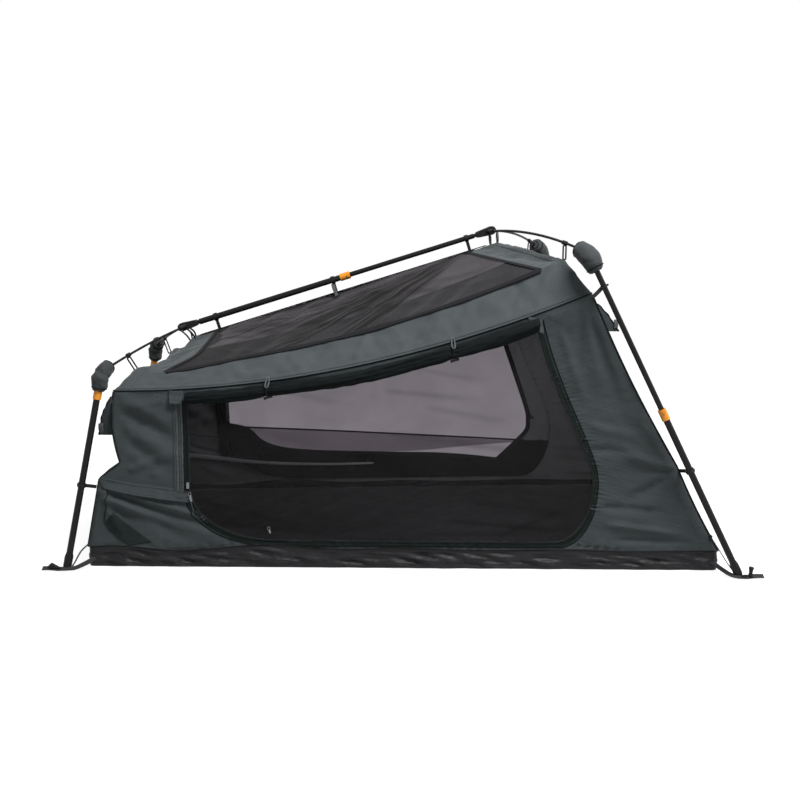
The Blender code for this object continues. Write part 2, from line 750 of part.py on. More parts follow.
def side_prism(side, inset):
    return plate(door_outline(inset), DOOR_CUT_HALF, y_centre=-DOOR_CUT_Y * side)


def place_fabric(shape, name, look):
    return finished(shape, name, look, Vector((0.0, 0.0, 0.0)), smooth=50.0)


for side_name, side in SIDES:
    wall = combined(grid_shell(wall_rows(side, SEAM), FABRIC), [side_prism(side, 0.0)], "DIFFERENCE")
    place_fabric(wall, "side_wall_" + side_name, CANVAS_GREEN)
    door = combined(grid_shell(wall_rows(side, SEAM), MESH), [side_prism(side, SEAM)], "INTERSECT")
    place_fabric(door, "door_mesh_" + side_name, MESH_BLACK)


# End walls

def end_rows(u, outward):
    rows = []
    columns = 8
    for v in WALL_LEVELS:
        near_point = wall_point(u, v)
        near_point.z += SEAM * (1 if v == 0.0 else 0) - SEAM * (1 if v == 1.0 else 0)
        near_point.y += SEAM
        rows.append([near_point.lerp(mirrored(near_point), k / columns) for k in range(columns + 1)])
    if outward < 0:
        rows.reverse()
    return rows


place_fabric(grid_shell(end_rows(0.0, -1), FABRIC), "end_wall_foot", CANVAS_GREEN)
place_fabric(grid_shell(end_rows(1.0, 1), FABRIC), "end_wall_head", CANVAS_GREEN)


# Roof

ROOF_BAND_COLUMNS = 2
ROOF_SLOPE_COLUMNS = 4
ROOF_STATIONS = 9


def across_row(eave, band, ridge):
    near_half = [eave.lerp(band, k / ROOF_BAND_COLUMNS) for k in range(ROOF_BAND_COLUMNS)]
    near_half += [band.lerp(ridge, k / ROOF_SLOPE_COLUMNS) for k in range(ROOF_SLOPE_COLUMNS)]
    return near_half + [ridge] + [mirrored(point) for point in reversed(near_half)]


def roof_grid():
    foot_eave = eave_point(EAVE_FOOT_X)
    head_eave = eave_point(EAVE_HEAD_X)
    columns = 2 * (ROOF_BAND_COLUMNS + ROOF_SLOPE_COLUMNS)
    rows = [[foot_eave.lerp(mirrored(foot_eave), k / columns) for k in range(columns + 1)]]
    rows.append(across_row(foot_eave, band_point(BAND_FOOT_X), ridge_point(RIDGE_LIP_X)))
    for k in range(ROOF_STATIONS + 1):
        t = k / ROOF_STATIONS
        band = band_point(blend(MESH_FOOT_BAND_X, MESH_HEAD_BAND_X, t))
        ridge = ridge_point(blend(MESH_FOOT_RIDGE_X, MESH_HEAD_RIDGE_X, t))
        rows.append(across_row(eave_point(band.x), band, ridge))
    rows.append(across_row(head_eave, band_point(BAND_HEAD_X), ridge_point(RIDGE_PEAK_X)))
    rows.append([head_eave.lerp(mirrored(head_eave), k / columns) for k in range(columns + 1)])
    return rows


def in_mesh(i, j):
    first_row = 2
    inside_rows = first_row <= i < first_row + ROOF_STATIONS
    last_column = ROOF_BAND_COLUMNS + 2 * ROOF_SLOPE_COLUMNS
    return inside_rows and ROOF_BAND_COLUMNS <= j < last_column


roof_rows = roof_grid()
canopy = grid_shell(list(reversed(roof_rows)), FABRIC, keep=lambda i, j: not in_mesh(len(roof_rows) - 2 - i, j))
place_fabric(canopy, "roof_canopy", CANVAS_GREEN)


def roof_mesh_rows():
    first = ROOF_BAND_COLUMNS
    last = ROOF_BAND_COLUMNS + 2 * ROOF_SLOPE_COLUMNS
    rows = [list(row[first:last + 1]) for row in roof_rows[2:3 + ROOF_STATIONS]]
    for row in rows:
        for edge, neighbour in ((0, 1), (-1, -2)):
            row[edge] = row[edge] + (row[neighbour] - row[edge]).normalized() * SEAM
    for edge, neighbour in ((0, 1), (-1, -2)):
        rows[edge] = [point + (other - point).normalized() * SEAM for point, other in zip(rows[edge], rows[neighbour])]
    return list(reversed(rows))


place_fabric(grid_shell(roof_mesh_rows(), MESH), "roof_mesh", MESH_BLACK)


# Tub and mattress

def tub():
    work = bmesh.new()
    bmesh.ops.create_cube(work, size=1.0)
    for vertex in work.verts:
        u = 0.0 if vertex.co.x < 0 else 1.0
        rim = tub_rim(u)
        vertex.co = Vector((rim.x, rim.y if vertex.co.y < 0 else -rim.y, TUB_HEIGHT if vertex.co.z > 0 else 0.0))
    lid = [face for face in work.faces if face.normal.z > 0.9]
    bmesh.ops.delete(work, geom=lid, context="FACES_ONLY")
    bmesh.ops.subdivide_edges(work, edges=work.edges, cuts=3, use_grid_fill=True)
    mesh_data = bpy.data.meshes.new("tub")
    work.to_mesh(mesh_data)
    work.free()
    holder = mesh_object(mesh_data)
    skin = holder.modifiers.new("thickness", "SOLIDIFY")
    skin.thickness = TUB_SHEET
    skin.offset = -1.0
    skin.use_even_offset = True
    return place_fabric(frozen(holder), "tub_floor", TUB_BLACK)


def mattress():
    work = bmesh.new()
    bmesh.ops.create_cube(work, size=1.0)
    low = TUB_SHEET + TOUCH
    for vertex in work.verts:
        rim = tub_rim(0.0 if vertex.co.x < 0 else 1.0)
        x = rim.x + MATTRESS_MARGIN * (1 if rim.x < 0 else -1)
        y = (rim.y + MATTRESS_MARGIN) * (1 if vertex.co.y < 0 else -1)
        vertex.co = Vector((x, y, low + MATTRESS_THICKNESS if vertex.co.z > 0 else low))
    mesh_data = bpy.data.meshes.new("mattress")
    work.to_mesh(mesh_data)
    work.free()
    holder = mesh_object(mesh_data)
    soften = holder.modifiers.new("edges", "BEVEL")
    soften.width = MATTRESS_EDGE
    soften.segments = 2
    soften.limit_method = "NONE"
    return place_fabric(frozen(holder), "mattress", MATTRESS_GREY)


tub()
mattress()


# Rolled doors under the eaves

def wall_at(x, drop):
    """The wall's point a set drop below the eave at this length."""
    eave = eave_point(x)
    u = share(x, EAVE_FOOT_X, EAVE_HEAD_X)
    v = 1.0 - drop / (eave.z - TUB_HEIGHT)
    point = wall_point(u, v)
    return Vector((x, point.y, eave.z - drop))


for side_name, side in SIDES:
    route = []
    for k in range(13):
        point = wall_at(blend(DOOR_FOOT_X, DOOR_HEAD_X, k / 12), ROLL_DROP)
        point.y -= FABRIC + ROLL_STAND + ROLL_RADIUS
        route.append(on_side(point, side))
    place_fabric(tube_along(route, ROLL_RADIUS), "door_roll_" + side_name, CANVAS_GREEN)


# Hoods over the end vents

def hood(name, base, reach, fall, half, outward):
    rows = []
    columns = 6
    steps = 3
    for i in range(steps + 1):
        t = i / steps
        x = base.x + outward * reach * t
        z = base.z - fall * t ** HOOD_DROOP
        width = half * (1.0 - HOOD_TAPER * t)
        rows.append([Vector((x, blend(-width, width, k / columns), z)) for k in range(columns + 1)])
    if outward > 0:
        rows.reverse()
    return place_fabric(grid_shell(rows, FABRIC), name, CANVAS_GREEN)


def hood_base(u, drop, outward, stand):
    """A point on the end wall's outer face, a set drop below the eave."""
    eave_z = eave_point(blend(EAVE_FOOT_X, EAVE_HEAD_X, u)).z
    place = wall_point(u, 1.0 - drop / (eave_z - TUB_HEIGHT))
    place.x += outward * stand
    return place


head_hood_base = hood_base(1.0, HEAD_HOOD_TOP, 1, HEAD_HOOD_STAND)
foot_hood_base = hood_base(0.0, FOOT_HOOD_TOP, -1, FOOT_HOOD_STAND)
hood("hood_head", head_hood_base, HEAD_HOOD_REACH, HEAD_HOOD_FALL, HEAD_HOOD_HALF, 1)
hood("hood_foot", foot_hood_base, FOOT_HOOD_REACH, FOOT_HOOD_FALL, FOOT_HOOD_HALF, -1)


# Clips that hold the fabric to the frame

def clip(name, centre, axis, target, tube_radius, origin):
    """A ring round a tube with a tab out to the fabric."""
    ring_radius = tube_radius + TOUCH + CLIP_WALL
    half = CLIP_WIDTH / 2
    outline = [(ring_radius, half), (ring_radius, -half), (tube_radius + TOUCH, -half), (tube_radius + TOUCH, half)]
    ring = turned(outline, centre, axis, closed=True)
    reach = target - centre
    reach -= axis * reach.dot(axis)
    length = reach.length
    way = reach.normalized()
    start = ring_radius - CLIP_WALL / 2
    tab_frame = Matrix((axis, axis.cross(way), way)).transposed().to_4x4()
    work = bmesh.new()
    bmesh.ops.create_cube(work, size=1.0)
    size = Matrix.Diagonal((CLIP_TAB_WIDTH, CLIP_TAB, length - start, 1.0))
    work.transform(Matrix.Translation(centre + way * (start + length) / 2) @ tab_frame @ size)
    mesh_data = bpy.data.meshes.new("tab")
    work.to_mesh(mesh_data)
    work.free()
    solid = combined(ring, [mesh_object(mesh_data)], "UNION")
    return finished(solid, name, MOULDED_BLACK, origin)


def on_ridge(x):
    return FOOT_PIVOT + ridge_direction * ((x - FOOT_PIVOT.x) / ridge_direction.x)


ridge_drop = Vector((ridge_direction.z, 0.0, -ridge_direction.x)) * (RIDGE_DROP * ridge_direction.x - FABRIC - SEAM)
for label, centre, radius in (
        ("foot", on_ridge(FOOT_RIDGE_CLIP_X), OUTER_RADIUS),
        ("middle", ridge_mouth - ridge_direction * MIDDLE_CLIP_BACK, OUTER_RADIUS),
        ("head", on_ridge(HEAD_RIDGE_CLIP_X), INNER_RADIUS)):
    clip("ridge_clip_" + label, centre, ridge_direction, centre + ridge_drop, radius, centre)

for end_name, elbow_place, stand_place, clip_z, clip_stand, u in (
        ("foot", foot_elbow, FOOT_STAND, FOOT_CLIP_Z, FOOT_CLIP_STAND, 0.0),
        ("head", head_elbow, HEAD_STAND, HEAD_CLIP_Z, HEAD_CLIP_STAND, 1.0)):
    for side_name, side in SIDES:
        elbow = on_side(elbow_place, side)
        foot, upward = leg_frame(elbow, Vector((stand_place.x, stand_place.y * side)))
        centre = foot + upward * ((clip_z - foot.z) / upward.z)
        eave_z = eave_point(blend(EAVE_FOOT_X, EAVE_HEAD_X, u)).z
        corner = on_side(wall_point(u, share(clip_z, TUB_HEIGHT, eave_z)), side)
        gap = (centre - corner).normalized() * clip_stand
        clip(end_name + "_leg_clip_" + side_name, centre, upward, corner + gap, OUTER_RADIUS, centre)


# Tethers from the tub corners past the feet

for end_name, stand_place, u, way in (("foot", FOOT_STAND, 0.0, -1), ("head", HEAD_STAND, 1.0, 1)):
    for side_name, side in SIDES:
        start = tub_rim(blend(u, 0.5, STRAP_INSET)) - ACROSS * STRAP_SEAT
        start.z = TUB_HEIGHT / 2
        past = FOOT_CAP_RADIUS + STRAP_RADIUS + TOUCH
        beside = Vector((stand_place.x, stand_place.y - past, STRAP_RADIUS + TOUCH))
        tail = Vector((stand_place.x + way * STRAP_TAIL, stand_place.y - STRAP_TAIL_OUT, beside.z))
        outwards = LENGTHWAYS * way
        exit_handle = start + Vector((way * STRAP_EXIT.x, STRAP_EXIT.y, STRAP_EXIT.z))
        first = bezier(start, exit_handle, beside - outwards * STRAP_LEAD, beside, 6)
        second = bezier(beside, beside + outwards * STRAP_TURN, tail - outwards * STRAP_TURN, tail, 4)
        route = [on_side(point, side) for point in first + second[1:]]
        place_fabric(tube_along(route, STRAP_RADIUS), end_name + "_tether_" + side_name, WEBBING_GREY)


# Zip slider on the near door's upright run

def zip_slider():
    eave_z = eave_point(DOOR_FOOT_X).z
    v = share(SLIDER_Z, TUB_HEIGHT, eave_z)
    u = share(DOOR_FOOT_X, tub_rim(0.0).x * (1 - v) + EAVE_FOOT_X * v, tub_rim(1.0).x * (1 - v) + EAVE_HEAD_X * v)
    along = (wall_point(u, v + SLIDER_PROBE) - wall_point(u, v)).normalized()
    place = wall_point(u, v)
    place.x = DOOR_FOOT_X - SLIDER_SET
    place.y -= FABRIC + SLIDER_STAND + SLIDER_DEPTH / 2
    body = block(place, (SLIDER_WIDTH, SLIDER_DEPTH, SLIDER_HEIGHT), Vector((0.0, along.y, along.z)))
    soften = body.modifiers.new("edges", "BEVEL")
    soften.width = SLIDER_EDGE
    soften.segments = 2
    return finished(frozen(body), "door_zip_slider", MOULDED_BLACK, place)


zip_slider()
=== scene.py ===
import bpy
import bmesh
import json
import math
import numpy as np
from mathutils.kdtree import KDTree
from mathutils import Matrix, Vector
from mathutils.bvhtree import BVHTree

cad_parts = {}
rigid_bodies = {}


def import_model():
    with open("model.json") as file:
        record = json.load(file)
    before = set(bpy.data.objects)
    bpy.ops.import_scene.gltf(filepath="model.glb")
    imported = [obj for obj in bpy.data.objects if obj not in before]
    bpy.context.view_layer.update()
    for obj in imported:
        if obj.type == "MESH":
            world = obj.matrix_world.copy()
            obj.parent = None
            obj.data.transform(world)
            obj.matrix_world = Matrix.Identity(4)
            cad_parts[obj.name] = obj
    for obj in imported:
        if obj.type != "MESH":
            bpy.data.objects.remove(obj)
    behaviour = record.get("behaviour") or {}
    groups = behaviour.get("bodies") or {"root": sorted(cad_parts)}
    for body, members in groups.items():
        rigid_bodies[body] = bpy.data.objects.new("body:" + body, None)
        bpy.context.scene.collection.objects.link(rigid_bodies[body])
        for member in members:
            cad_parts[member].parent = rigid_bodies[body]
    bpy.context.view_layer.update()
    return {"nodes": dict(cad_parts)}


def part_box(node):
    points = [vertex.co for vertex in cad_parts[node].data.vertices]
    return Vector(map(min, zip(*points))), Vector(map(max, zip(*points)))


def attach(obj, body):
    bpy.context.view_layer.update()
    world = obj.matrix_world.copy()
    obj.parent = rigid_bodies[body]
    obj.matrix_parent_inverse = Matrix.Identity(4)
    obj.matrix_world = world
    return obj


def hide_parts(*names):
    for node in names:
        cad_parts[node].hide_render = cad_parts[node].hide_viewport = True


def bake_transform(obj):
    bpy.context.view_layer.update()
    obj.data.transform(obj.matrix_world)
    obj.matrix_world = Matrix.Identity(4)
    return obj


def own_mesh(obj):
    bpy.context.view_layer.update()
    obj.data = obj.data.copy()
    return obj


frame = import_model()
print("frame loaded")


# numbers for the fabric body, in metres, the same as in the part's source
tent = dict(
    tubFootX=-1.085, tubHeadX=1.058, tubFootHalf=0.436, tubHeadHalf=0.505, tubHeight=0.066,
    eaveFootX=-0.985, eaveHeadX=0.603, eaveFootHalf=0.390, eaveHeadHalf=0.490, eaveFootZ=0.602, eaveRise=0.334,
    bandFootX=-0.923, bandHeadX=0.519, bandFootHalf=0.290, bandHeadHalf=0.420, bandFootRise=0.062, bandHeadRise=0.137,
    ridgeFootX=-0.790, ridgeHeadX=0.346, ridgeDrop=0.050,
    meshFootRidge=-0.690, meshHeadRidge=0.228, meshFootBand=-0.745, meshHeadBand=0.448,
    footPivot=(-0.775, 0.0, 0.797), headPivot=(0.275, 0.0, 1.122),
    rimX=[-1.085, -1.0, -0.77, -0.48, -0.22, -0.02, 0.25, 0.56, 0.73, 1.058],
    rimZ=[0.070, 0.074, 0.058, 0.080, 0.066, 0.071, 0.066, 0.070, 0.065, 0.068],
    notchDeep=0.060, notchFade=0.09, boxTop=0.43, notchDeepest=0.55,
)
door = dict(footX=-0.730, headX=0.430, bellyX=0.627, bellyZ=0.294, lowZ=0.098, drop=0.045,
            footCurve=0.293, footCurveHigh=0.182, headCurve=0.127)


def mix(a, b, t):
    return a + (b - a) * t


def share(x, a, b):
    return (x - a) / (b - a)


def smooth(t):
    t = np.clip(t, 0.0, 1.0)
    return t * t * (3.0 - 2.0 * t)


def softRun(x, places, values):  # values at places, joined by soft steps
    x = np.asarray(x, float)
    index = np.clip(np.searchsorted(places, x, side="right") - 1, 0, len(places) - 2)
    places, values = np.array(places), np.array(values)
    t = smooth((x - places[index]) / (places[index + 1] - places[index]))
    return mix(values[index], values[index + 1], t)


def unit(v):
    return v / np.maximum(np.linalg.norm(v, axis=-1, keepdims=True), 1e-9)


def waves(p, size, seed, count=9):  # smooth seeded ripples, about -1 to 1, for points of any dimension
    rng = np.random.default_rng(seed)
    total = 0.0
    for k in range(count):
        way = unit(rng.normal(size=p.shape[-1]))
        total = total + np.sin((p @ way) * (2 * np.pi / size) * rng.uniform(0.55, 1.7) + rng.uniform(0, 6.28))
    return total / math.sqrt(count) / 1.2


# the surfaces that the cloth follows; the near side is at -Y
def eaveLine(x):
    t = share(x, tent["eaveFootX"], tent["eaveHeadX"])
    return np.stack([x, -mix(tent["eaveFootHalf"], tent["eaveHeadHalf"], t),
                     tent["eaveFootZ"] + tent["eaveRise"] * t * t], -1)


def bandLine(x):
    t = share(x, tent["bandFootX"], tent["bandHeadX"])
    rise = mix(tent["bandFootRise"], tent["bandHeadRise"], t)
    return np.stack([x, -mix(tent["bandFootHalf"], tent["bandHeadHalf"], t), eaveLine(x)[..., 2] + rise], -1)


def ridgeLine(x):
    foot, head = tent["footPivot"], tent["headPivot"]
    z = mix(foot[2], head[2], share(x, foot[0], head[0])) - tent["ridgeDrop"]
    return np.stack([x, x * 0.0, z], -1)


def rimLine(x):
    t = share(x, tent["tubFootX"], tent["tubHeadX"])
    z = softRun(x, tent["rimX"], tent["rimZ"])
    return np.stack([x, -mix(tent["tubFootHalf"], tent["tubHeadHalf"], t), z], -1)


def notch(v):
    up = share(v, tent["boxTop"], tent["notchDeepest"])
    back = np.clip(1.0 - share(v, tent["notchDeepest"], 1.0), 0.0, 1.0) ** 2
    return np.where(v <= tent["boxTop"], 0.0, np.where(v < tent["notchDeepest"], smooth(up), back))


def wallPoint(u, v):
    u, v = np.broadcast_arrays(np.asarray(u, float), np.asarray(v, float))
    low = rimLine(mix(tent["tubFootX"], tent["tubHeadX"], u))
    high = eaveLine(mix(tent["eaveFootX"], tent["eaveHeadX"], u))
    p = low + (high - low) * v[..., None]
    p[..., 0] += tent["notchDeep"] * notch(v) * np.clip(1.0 - u / tent["notchFade"], 0.0, 1.0)
    p[..., 0] -= 0.013 * np.sin(np.pi * np.clip(share(v, 0.34, 1.0), 0, 1)) * smooth(share(u, 0.8, 1.0))
    p[..., 0] -= 0.006 * np.sin(np.pi * np.clip(share(v, 0.0, 0.34), 0, 1)) * smooth(share(u, 0.8, 1.0))
    return p


def wallPlace(x, z):  # the (u, v) of a wall point from its x and z
    x, z = np.asarray(x, float), np.asarray(z, float)
    u = share(x, -1.0, 0.9)
    for turn in range(14):
        low = rimLine(mix(tent["tubFootX"], tent["tubHeadX"], u))[..., 2]
        high = eaveLine(mix(tent["eaveFootX"], tent["eaveHeadX"], u))[..., 2]
        v = share(z, low, high)
        u = share(x, mix(tent["tubFootX"], tent["eaveFootX"], v), mix(tent["tubHeadX"], tent["eaveHeadX"], v))
    return u, v


def distances(points):  # from the line's start to each of its points
    return np.r_[0.0, np.cumsum(np.linalg.norm(np.diff(points, axis=0), axis=1))]


def evenly(points, count):  # the same line with evenly spaced points
    points = np.asarray(points, float)
    run = distances(points)
    at = np.linspace(0.0, run[-1], count)
    return np.stack([np.interp(at, run, points[:, k]) for k in range(points.shape[1])], 1)


def bezier(a, b, c, d, t):
    return a * (1 - t) ** 3 + 3 * b * t * (1 - t) ** 2 + 3 * c * t ** 2 * (1 - t) + d * t ** 3


def curveThrough(points, count):  # a smooth line through a few points
    p = np.asarray(points, float)
    p = np.vstack([2 * p[0] - p[1], p, 2 * p[-1] - p[-2]])
    out = []
    for k in range(1, len(p) - 2):
        t = np.linspace(0, 1, 24, endpoint=False)[:, None]
        a, b, c, d = p[k - 1], p[k], p[k + 1], p[k + 2]
        cubic = (3 * b - a - 3 * c + d) * t ** 3
        out.append(0.5 * (2 * b + (c - a) * t + (2 * a - 5 * b + 4 * c - d) * t ** 2 + cubic))
    out.append(p[-2][None])
    return evenly(np.vstack(out), count)


# four runs in (x, z): down the foot side, along the bottom, up the head side, back along the top
def doorSides(grow=0.0):
    foot, head, belly = door["footX"] - grow, door["headX"] + grow, door["bellyX"] + grow
    low, drop = door["lowZ"] - grow, door["drop"] - grow
    footTop = eaveLine(np.array(foot))[2] - drop
    headTop = eaveLine(np.array(head))[2] - drop
    high, wide = door["footCurveHigh"], door["footCurve"]
    rise = door["bellyZ"] - low

    def footCorner(start, end):
        angle = np.linspace(start * np.pi, end * np.pi, 20)
        return np.stack([foot + wide * (1 + np.cos(angle)), low + high * (1 + np.sin(angle))], 1)

    def headCorner(start, end):
        angle = np.linspace(start * np.pi, end * np.pi, 20)
        return np.stack([belly - door["headCurve"] * (1 - np.cos(angle)), low + rise * (1 + np.sin(angle))], 1)

    footRun = np.vstack([[[foot, footTop]], footCorner(1.0, 1.25)])
    bottom = np.vstack([footCorner(1.25, 1.5), headCorner(-0.5, -0.25)])
    t = np.linspace(0, 1, 60)[:, None]
    a, d = np.array([belly, door["bellyZ"]]), np.array([head, headTop])
    b, c = a + [0, 0.12], d + [0.07, -0.26]
    lift = bezier(a, b, c, d, t)
    headRun = np.vstack([headCorner(-0.25, 0), lift[1:]])
    x = np.linspace(head, foot, 80)
    top = np.stack([x, eaveLine(x)[:, 2] - drop], 1)
    return footRun, bottom, headRun, top


# mesh makers
def linked(name, data):
    made = bpy.data.objects.new(name, data)
    bpy.context.scene.collection.objects.link(made)
    return made


def makeMesh(name, points, faces, material, uv=None, smoothShade=True):
    mesh = bpy.data.meshes.new(name)
    mesh.from_pydata([tuple(map(float, p)) for p in points], [], [tuple(map(int, f)) for f in faces])
    if uv is not None:
        layer = mesh.uv_layers.new(name="cloth")
        loops = np.zeros(len(mesh.loops), np.int64)
        mesh.loops.foreach_get("vertex_index", loops)
        layer.data.foreach_set("uv", np.asarray(uv, float)[loops].ravel())
    mesh.materials.append(material)
    if smoothShade:
        mesh.shade_smooth()
    return linked(name, mesh)


def gridFaces(rows, columns, closed=False, first=0):
    i, j = np.meshgrid(np.arange(rows - 1), np.arange(columns if closed else columns - 1), indexing="ij")
    a = first + i * columns + j
    b = first + i * columns + (j + 1) % columns
    return np.stack([a, b, b + columns, a + columns], -1).reshape(-1, 4)


def evaluated(piece):
    return bpy.data.meshes.new_from_object(piece.evaluated_get(bpy.context.evaluated_depsgraph_get()))


def applied(piece):  # modifiers made part of the mesh
    bpy.context.view_layer.update()
    solid = evaluated(piece)
    piece.modifiers.clear()
    piece.data = solid
    solid.shade_smooth()
    return piece


def thicken(piece, thickness, offset=-1.0):
    skin = piece.modifiers.new("thickness", "SOLIDIFY")
    skin.thickness, skin.offset = thickness, offset
    return applied(piece)


def vertexData(piece, what="co"):
    data = np.zeros(len(piece.data.vertices) * 3)
    if what == "co":
        piece.data.vertices.foreach_get("co", data)
    else:
        piece.data.vertex_normals.foreach_get("vector", data)
    return data.reshape(-1, 3)


def faceTo(piece, axis, sign):  # turns the faces over if they look the other way along an axis; gives their normals
    ways = vertexData(piece, "normal")
    if (ways[:, axis] * sign).mean() < 0:
        piece.data.flip_normals()
        ways = -ways
    return ways


def moveVertices(piece, points):
    piece.data.vertices.foreach_set("co", np.asarray(points, float).ravel())
    piece.data.update()


def merged(piece, distance=0.0002):
    work = bmesh.new()
    work.from_mesh(piece.data)
    bmesh.ops.remove_doubles(work, verts=work.verts, dist=distance)
    work.to_mesh(piece.data)
    work.free()
    return piece


def surfaceOf(*pieces):
    work = bmesh.new()
    for piece in pieces:
        work.from_mesh(piece.data)
    tree = BVHTree.FromBMesh(work)
    work.free()
    return tree


# points moved on to a surface and lifted off it; returns points and normals
def laidOn(tree, points, lift, outward=None):
    placed, ways = [], []
    for index, p in enumerate(np.asarray(points, float)):
        spot, way, face, gap = tree.find_nearest(Vector(p))
        if outward is not None and way.dot(Vector(outward if np.ndim(outward) == 1 else outward[index])) < 0:
            way = -way
        placed.append(spot + way * (lift if np.ndim(lift) == 0 else float(lift[index])))
        ways.append(way)
    return np.array(placed), np.array(ways)


# a flat strip; line: points of its middle; facing: the way its face looks, where no surface gives it
def ribbon(name, line, width, material, tree=None, lift=0.0006, thick=0.0012, facing=None, across=5, crown=0.0,
           outward=None):
    line = np.asarray(line, float)
    along = unit(np.gradient(line, axis=0))
    if tree is not None:
        line, facing = laidOn(tree, line, 0.0, outward)
    facing = np.broadcast_to(np.asarray(facing, float), line.shape)
    side = unit(np.cross(facing, along))
    wide = np.broadcast_to(np.asarray(width, float), (len(line),))
    steps = np.linspace(-0.5, 0.5, across)
    points = np.stack([line + side * (wide * s)[:, None] for s in steps], 1).reshape(-1, 3)
    rise = np.tile(crown * (1 - (2 * steps) ** 2), len(line))
    if tree is not None:
        points, ways = laidOn(tree, points, 0.0, outward)
        points = points + ways * (lift + rise)[:, None]
    else:
        points = points + np.repeat(facing, across, 0) * rise[:, None]
    run = distances(line)
    uv = np.stack([np.tile(steps, len(line)) * np.repeat(wide, across), np.repeat(run, across)], 1)
    made = makeMesh(name, points, gridFaces(len(line), across)[:, ::-1], material, uv)
    return thicken(made, thick, 1.0) if thick else made


def tubeAlong(name, line, radius, material, sides=10, caps=True):
    line = np.asarray(line, float)
    radius = np.broadcast_to(np.asarray(radius, float), (len(line),))
    along = unit(np.gradient(line, axis=0))
    over = np.zeros_like(line)
    start = np.cross(along[0], [0.0, 0.0, 1.0])
    if np.linalg.norm(start) < 0.1:
        start = np.cross(along[0], [1.0, 0.0, 0.0])
    over[0] = unit(start)
    for k in range(1, len(line)):
        over[k] = unit(over[k - 1] - along[k] * (over[k - 1] @ along[k]))
    side = np.cross(along, over)
    angle = np.linspace(0, 2 * np.pi, sides, endpoint=False)
    ring = over[:, None] * np.cos(angle)[None, :, None] + side[:, None] * np.sin(angle)[None, :, None]
    ring = ring * radius[:, None, None]
    points = (line[:, None] + ring).reshape(-1, 3)
    faces = [tuple(f) for f in gridFaces(len(line), sides, closed=True)]
    run = distances(line)
    uv = np.stack([np.tile(angle, len(line)) * np.repeat(radius, sides), np.repeat(run, sides)], 1)
    if caps:
        faces.append(tuple(range(sides))[::-1])
        faces.append(tuple(len(points) - sides + k for k in range(sides)))
    return makeMesh(name, points, faces, material, uv)


def joined(name, *pieces):
    with bpy.context.temp_override(active_object=pieces[0], selected_editable_objects=list(pieces),
                                   selected_objects=list(pieces), object=pieces[0]):
        bpy.ops.object.join()
    pieces[0].name = name
    return pieces[0]


def otherSide(piece, name):  # the far side's copy, with its faces turned out again
    made = piece.copy()
    made.data = piece.data.copy()
    made.name = made.data.name = name
    bpy.context.scene.collection.objects.link(made)
    made.data.transform(Matrix.Diagonal((1, -1, 1, 1)))
    made.data.flip_normals()
    return made


# folds: each is a line in the cloth's own two directions, with a width and a height in metres
def crease(p, a, b, width, height, endWidth=None, fadeIn=0.12, fadeOut=0.35, skew=0.0):
    a, b = np.array(a, float), np.array(b, float)
    long = np.linalg.norm(b - a)
    way = (b - a) / long
    t = ((p - a) @ way) / long
    off = (p - a) @ np.array([-way[1], way[0]])
    wide = mix(width, width if endWidth is None else endWidth, np.clip(t, 0, 1))
    shape = np.exp(-(off / wide) ** 2) * (1 + skew * np.tanh(off / wide))
    return height * shape * smooth(t / fadeIn) * smooth((1 - t) / fadeOut)


def creases(p, folds, fadeIn, fadeOut, skew=0.0, total=0.0):  # folds: start, end, width, height, width at its end
    for start, end, width, height, endWidth in folds:
        total = total + crease(p, start, end, width, height, endWidth, fadeIn, fadeOut, skew)
    return total


def fan(p, tip, aims, width, endWidth, height, seed, fadeOut=0.5):
    rng = np.random.default_rng(seed)
    total = 0.0
    for index, aim in enumerate(aims):
        sign = 1 if index % 2 == 0 else -0.8
        total = total + crease(p, tip, aim, width * rng.uniform(0.8, 1.2), height * sign * rng.uniform(0.7, 1.2),
                               endWidth * rng.uniform(0.8, 1.3), 0.1, fadeOut, skew=0.3)
    return total


# materials
def newMaterial(name):
    material = bpy.data.materials.new(name)
    material.use_nodes = True
    tree = material.node_tree
    return material, tree, tree.nodes["Principled BSDF"]


def colourNode(tree, a, b, factor):
    blendNode = tree.nodes.new("ShaderNodeMix")
    blendNode.data_type = "RGBA"
    blendNode.inputs[6].default_value = (*a, 1)
    blendNode.inputs[7].default_value = (*b, 1)
    tree.links.new(factor, blendNode.inputs[0])
    return blendNode.outputs[2]


def mathNode(tree, operation, a, b):
    node = tree.nodes.new("ShaderNodeMath")
    node.operation = operation
    for socket, value in zip(node.inputs, (a, b)):
        if isinstance(value, (int, float)):
            socket.default_value = value
        else:
            tree.links.new(value, socket)
    return node.outputs[0]


def scaled(tree, value, by, plus):  # value times a number, plus a number or another output
    return mathNode(tree, "ADD", mathNode(tree, "MULTIPLY", value, by), plus)


def coordinates(tree, source, scale=(1, 1, 1)):
    node = tree.nodes.new("ShaderNodeUVMap" if source == "cloth" else "ShaderNodeTexCoord")
    if source == "cloth":
        node.uv_map = "cloth"
    mapping = tree.nodes.new("ShaderNodeMapping")
    mapping.inputs["Scale"].default_value = scale
    tree.links.new(node.outputs["UV" if source == "cloth" else "Object"], mapping.inputs[0])
    return mapping.outputs[0]


def noiseNode(tree, vector, size, detail=3.0, rough=0.55, distort=0.0):
    node = tree.nodes.new("ShaderNodeTexNoise")
    node.inputs["Scale"].default_value = size
    node.inputs["Detail"].default_value = detail
    node.inputs["Roughness"].default_value = rough
    node.inputs["Distortion"].default_value = distort
    tree.links.new(vector, node.inputs["Vector"])
    return node.outputs["Fac"]


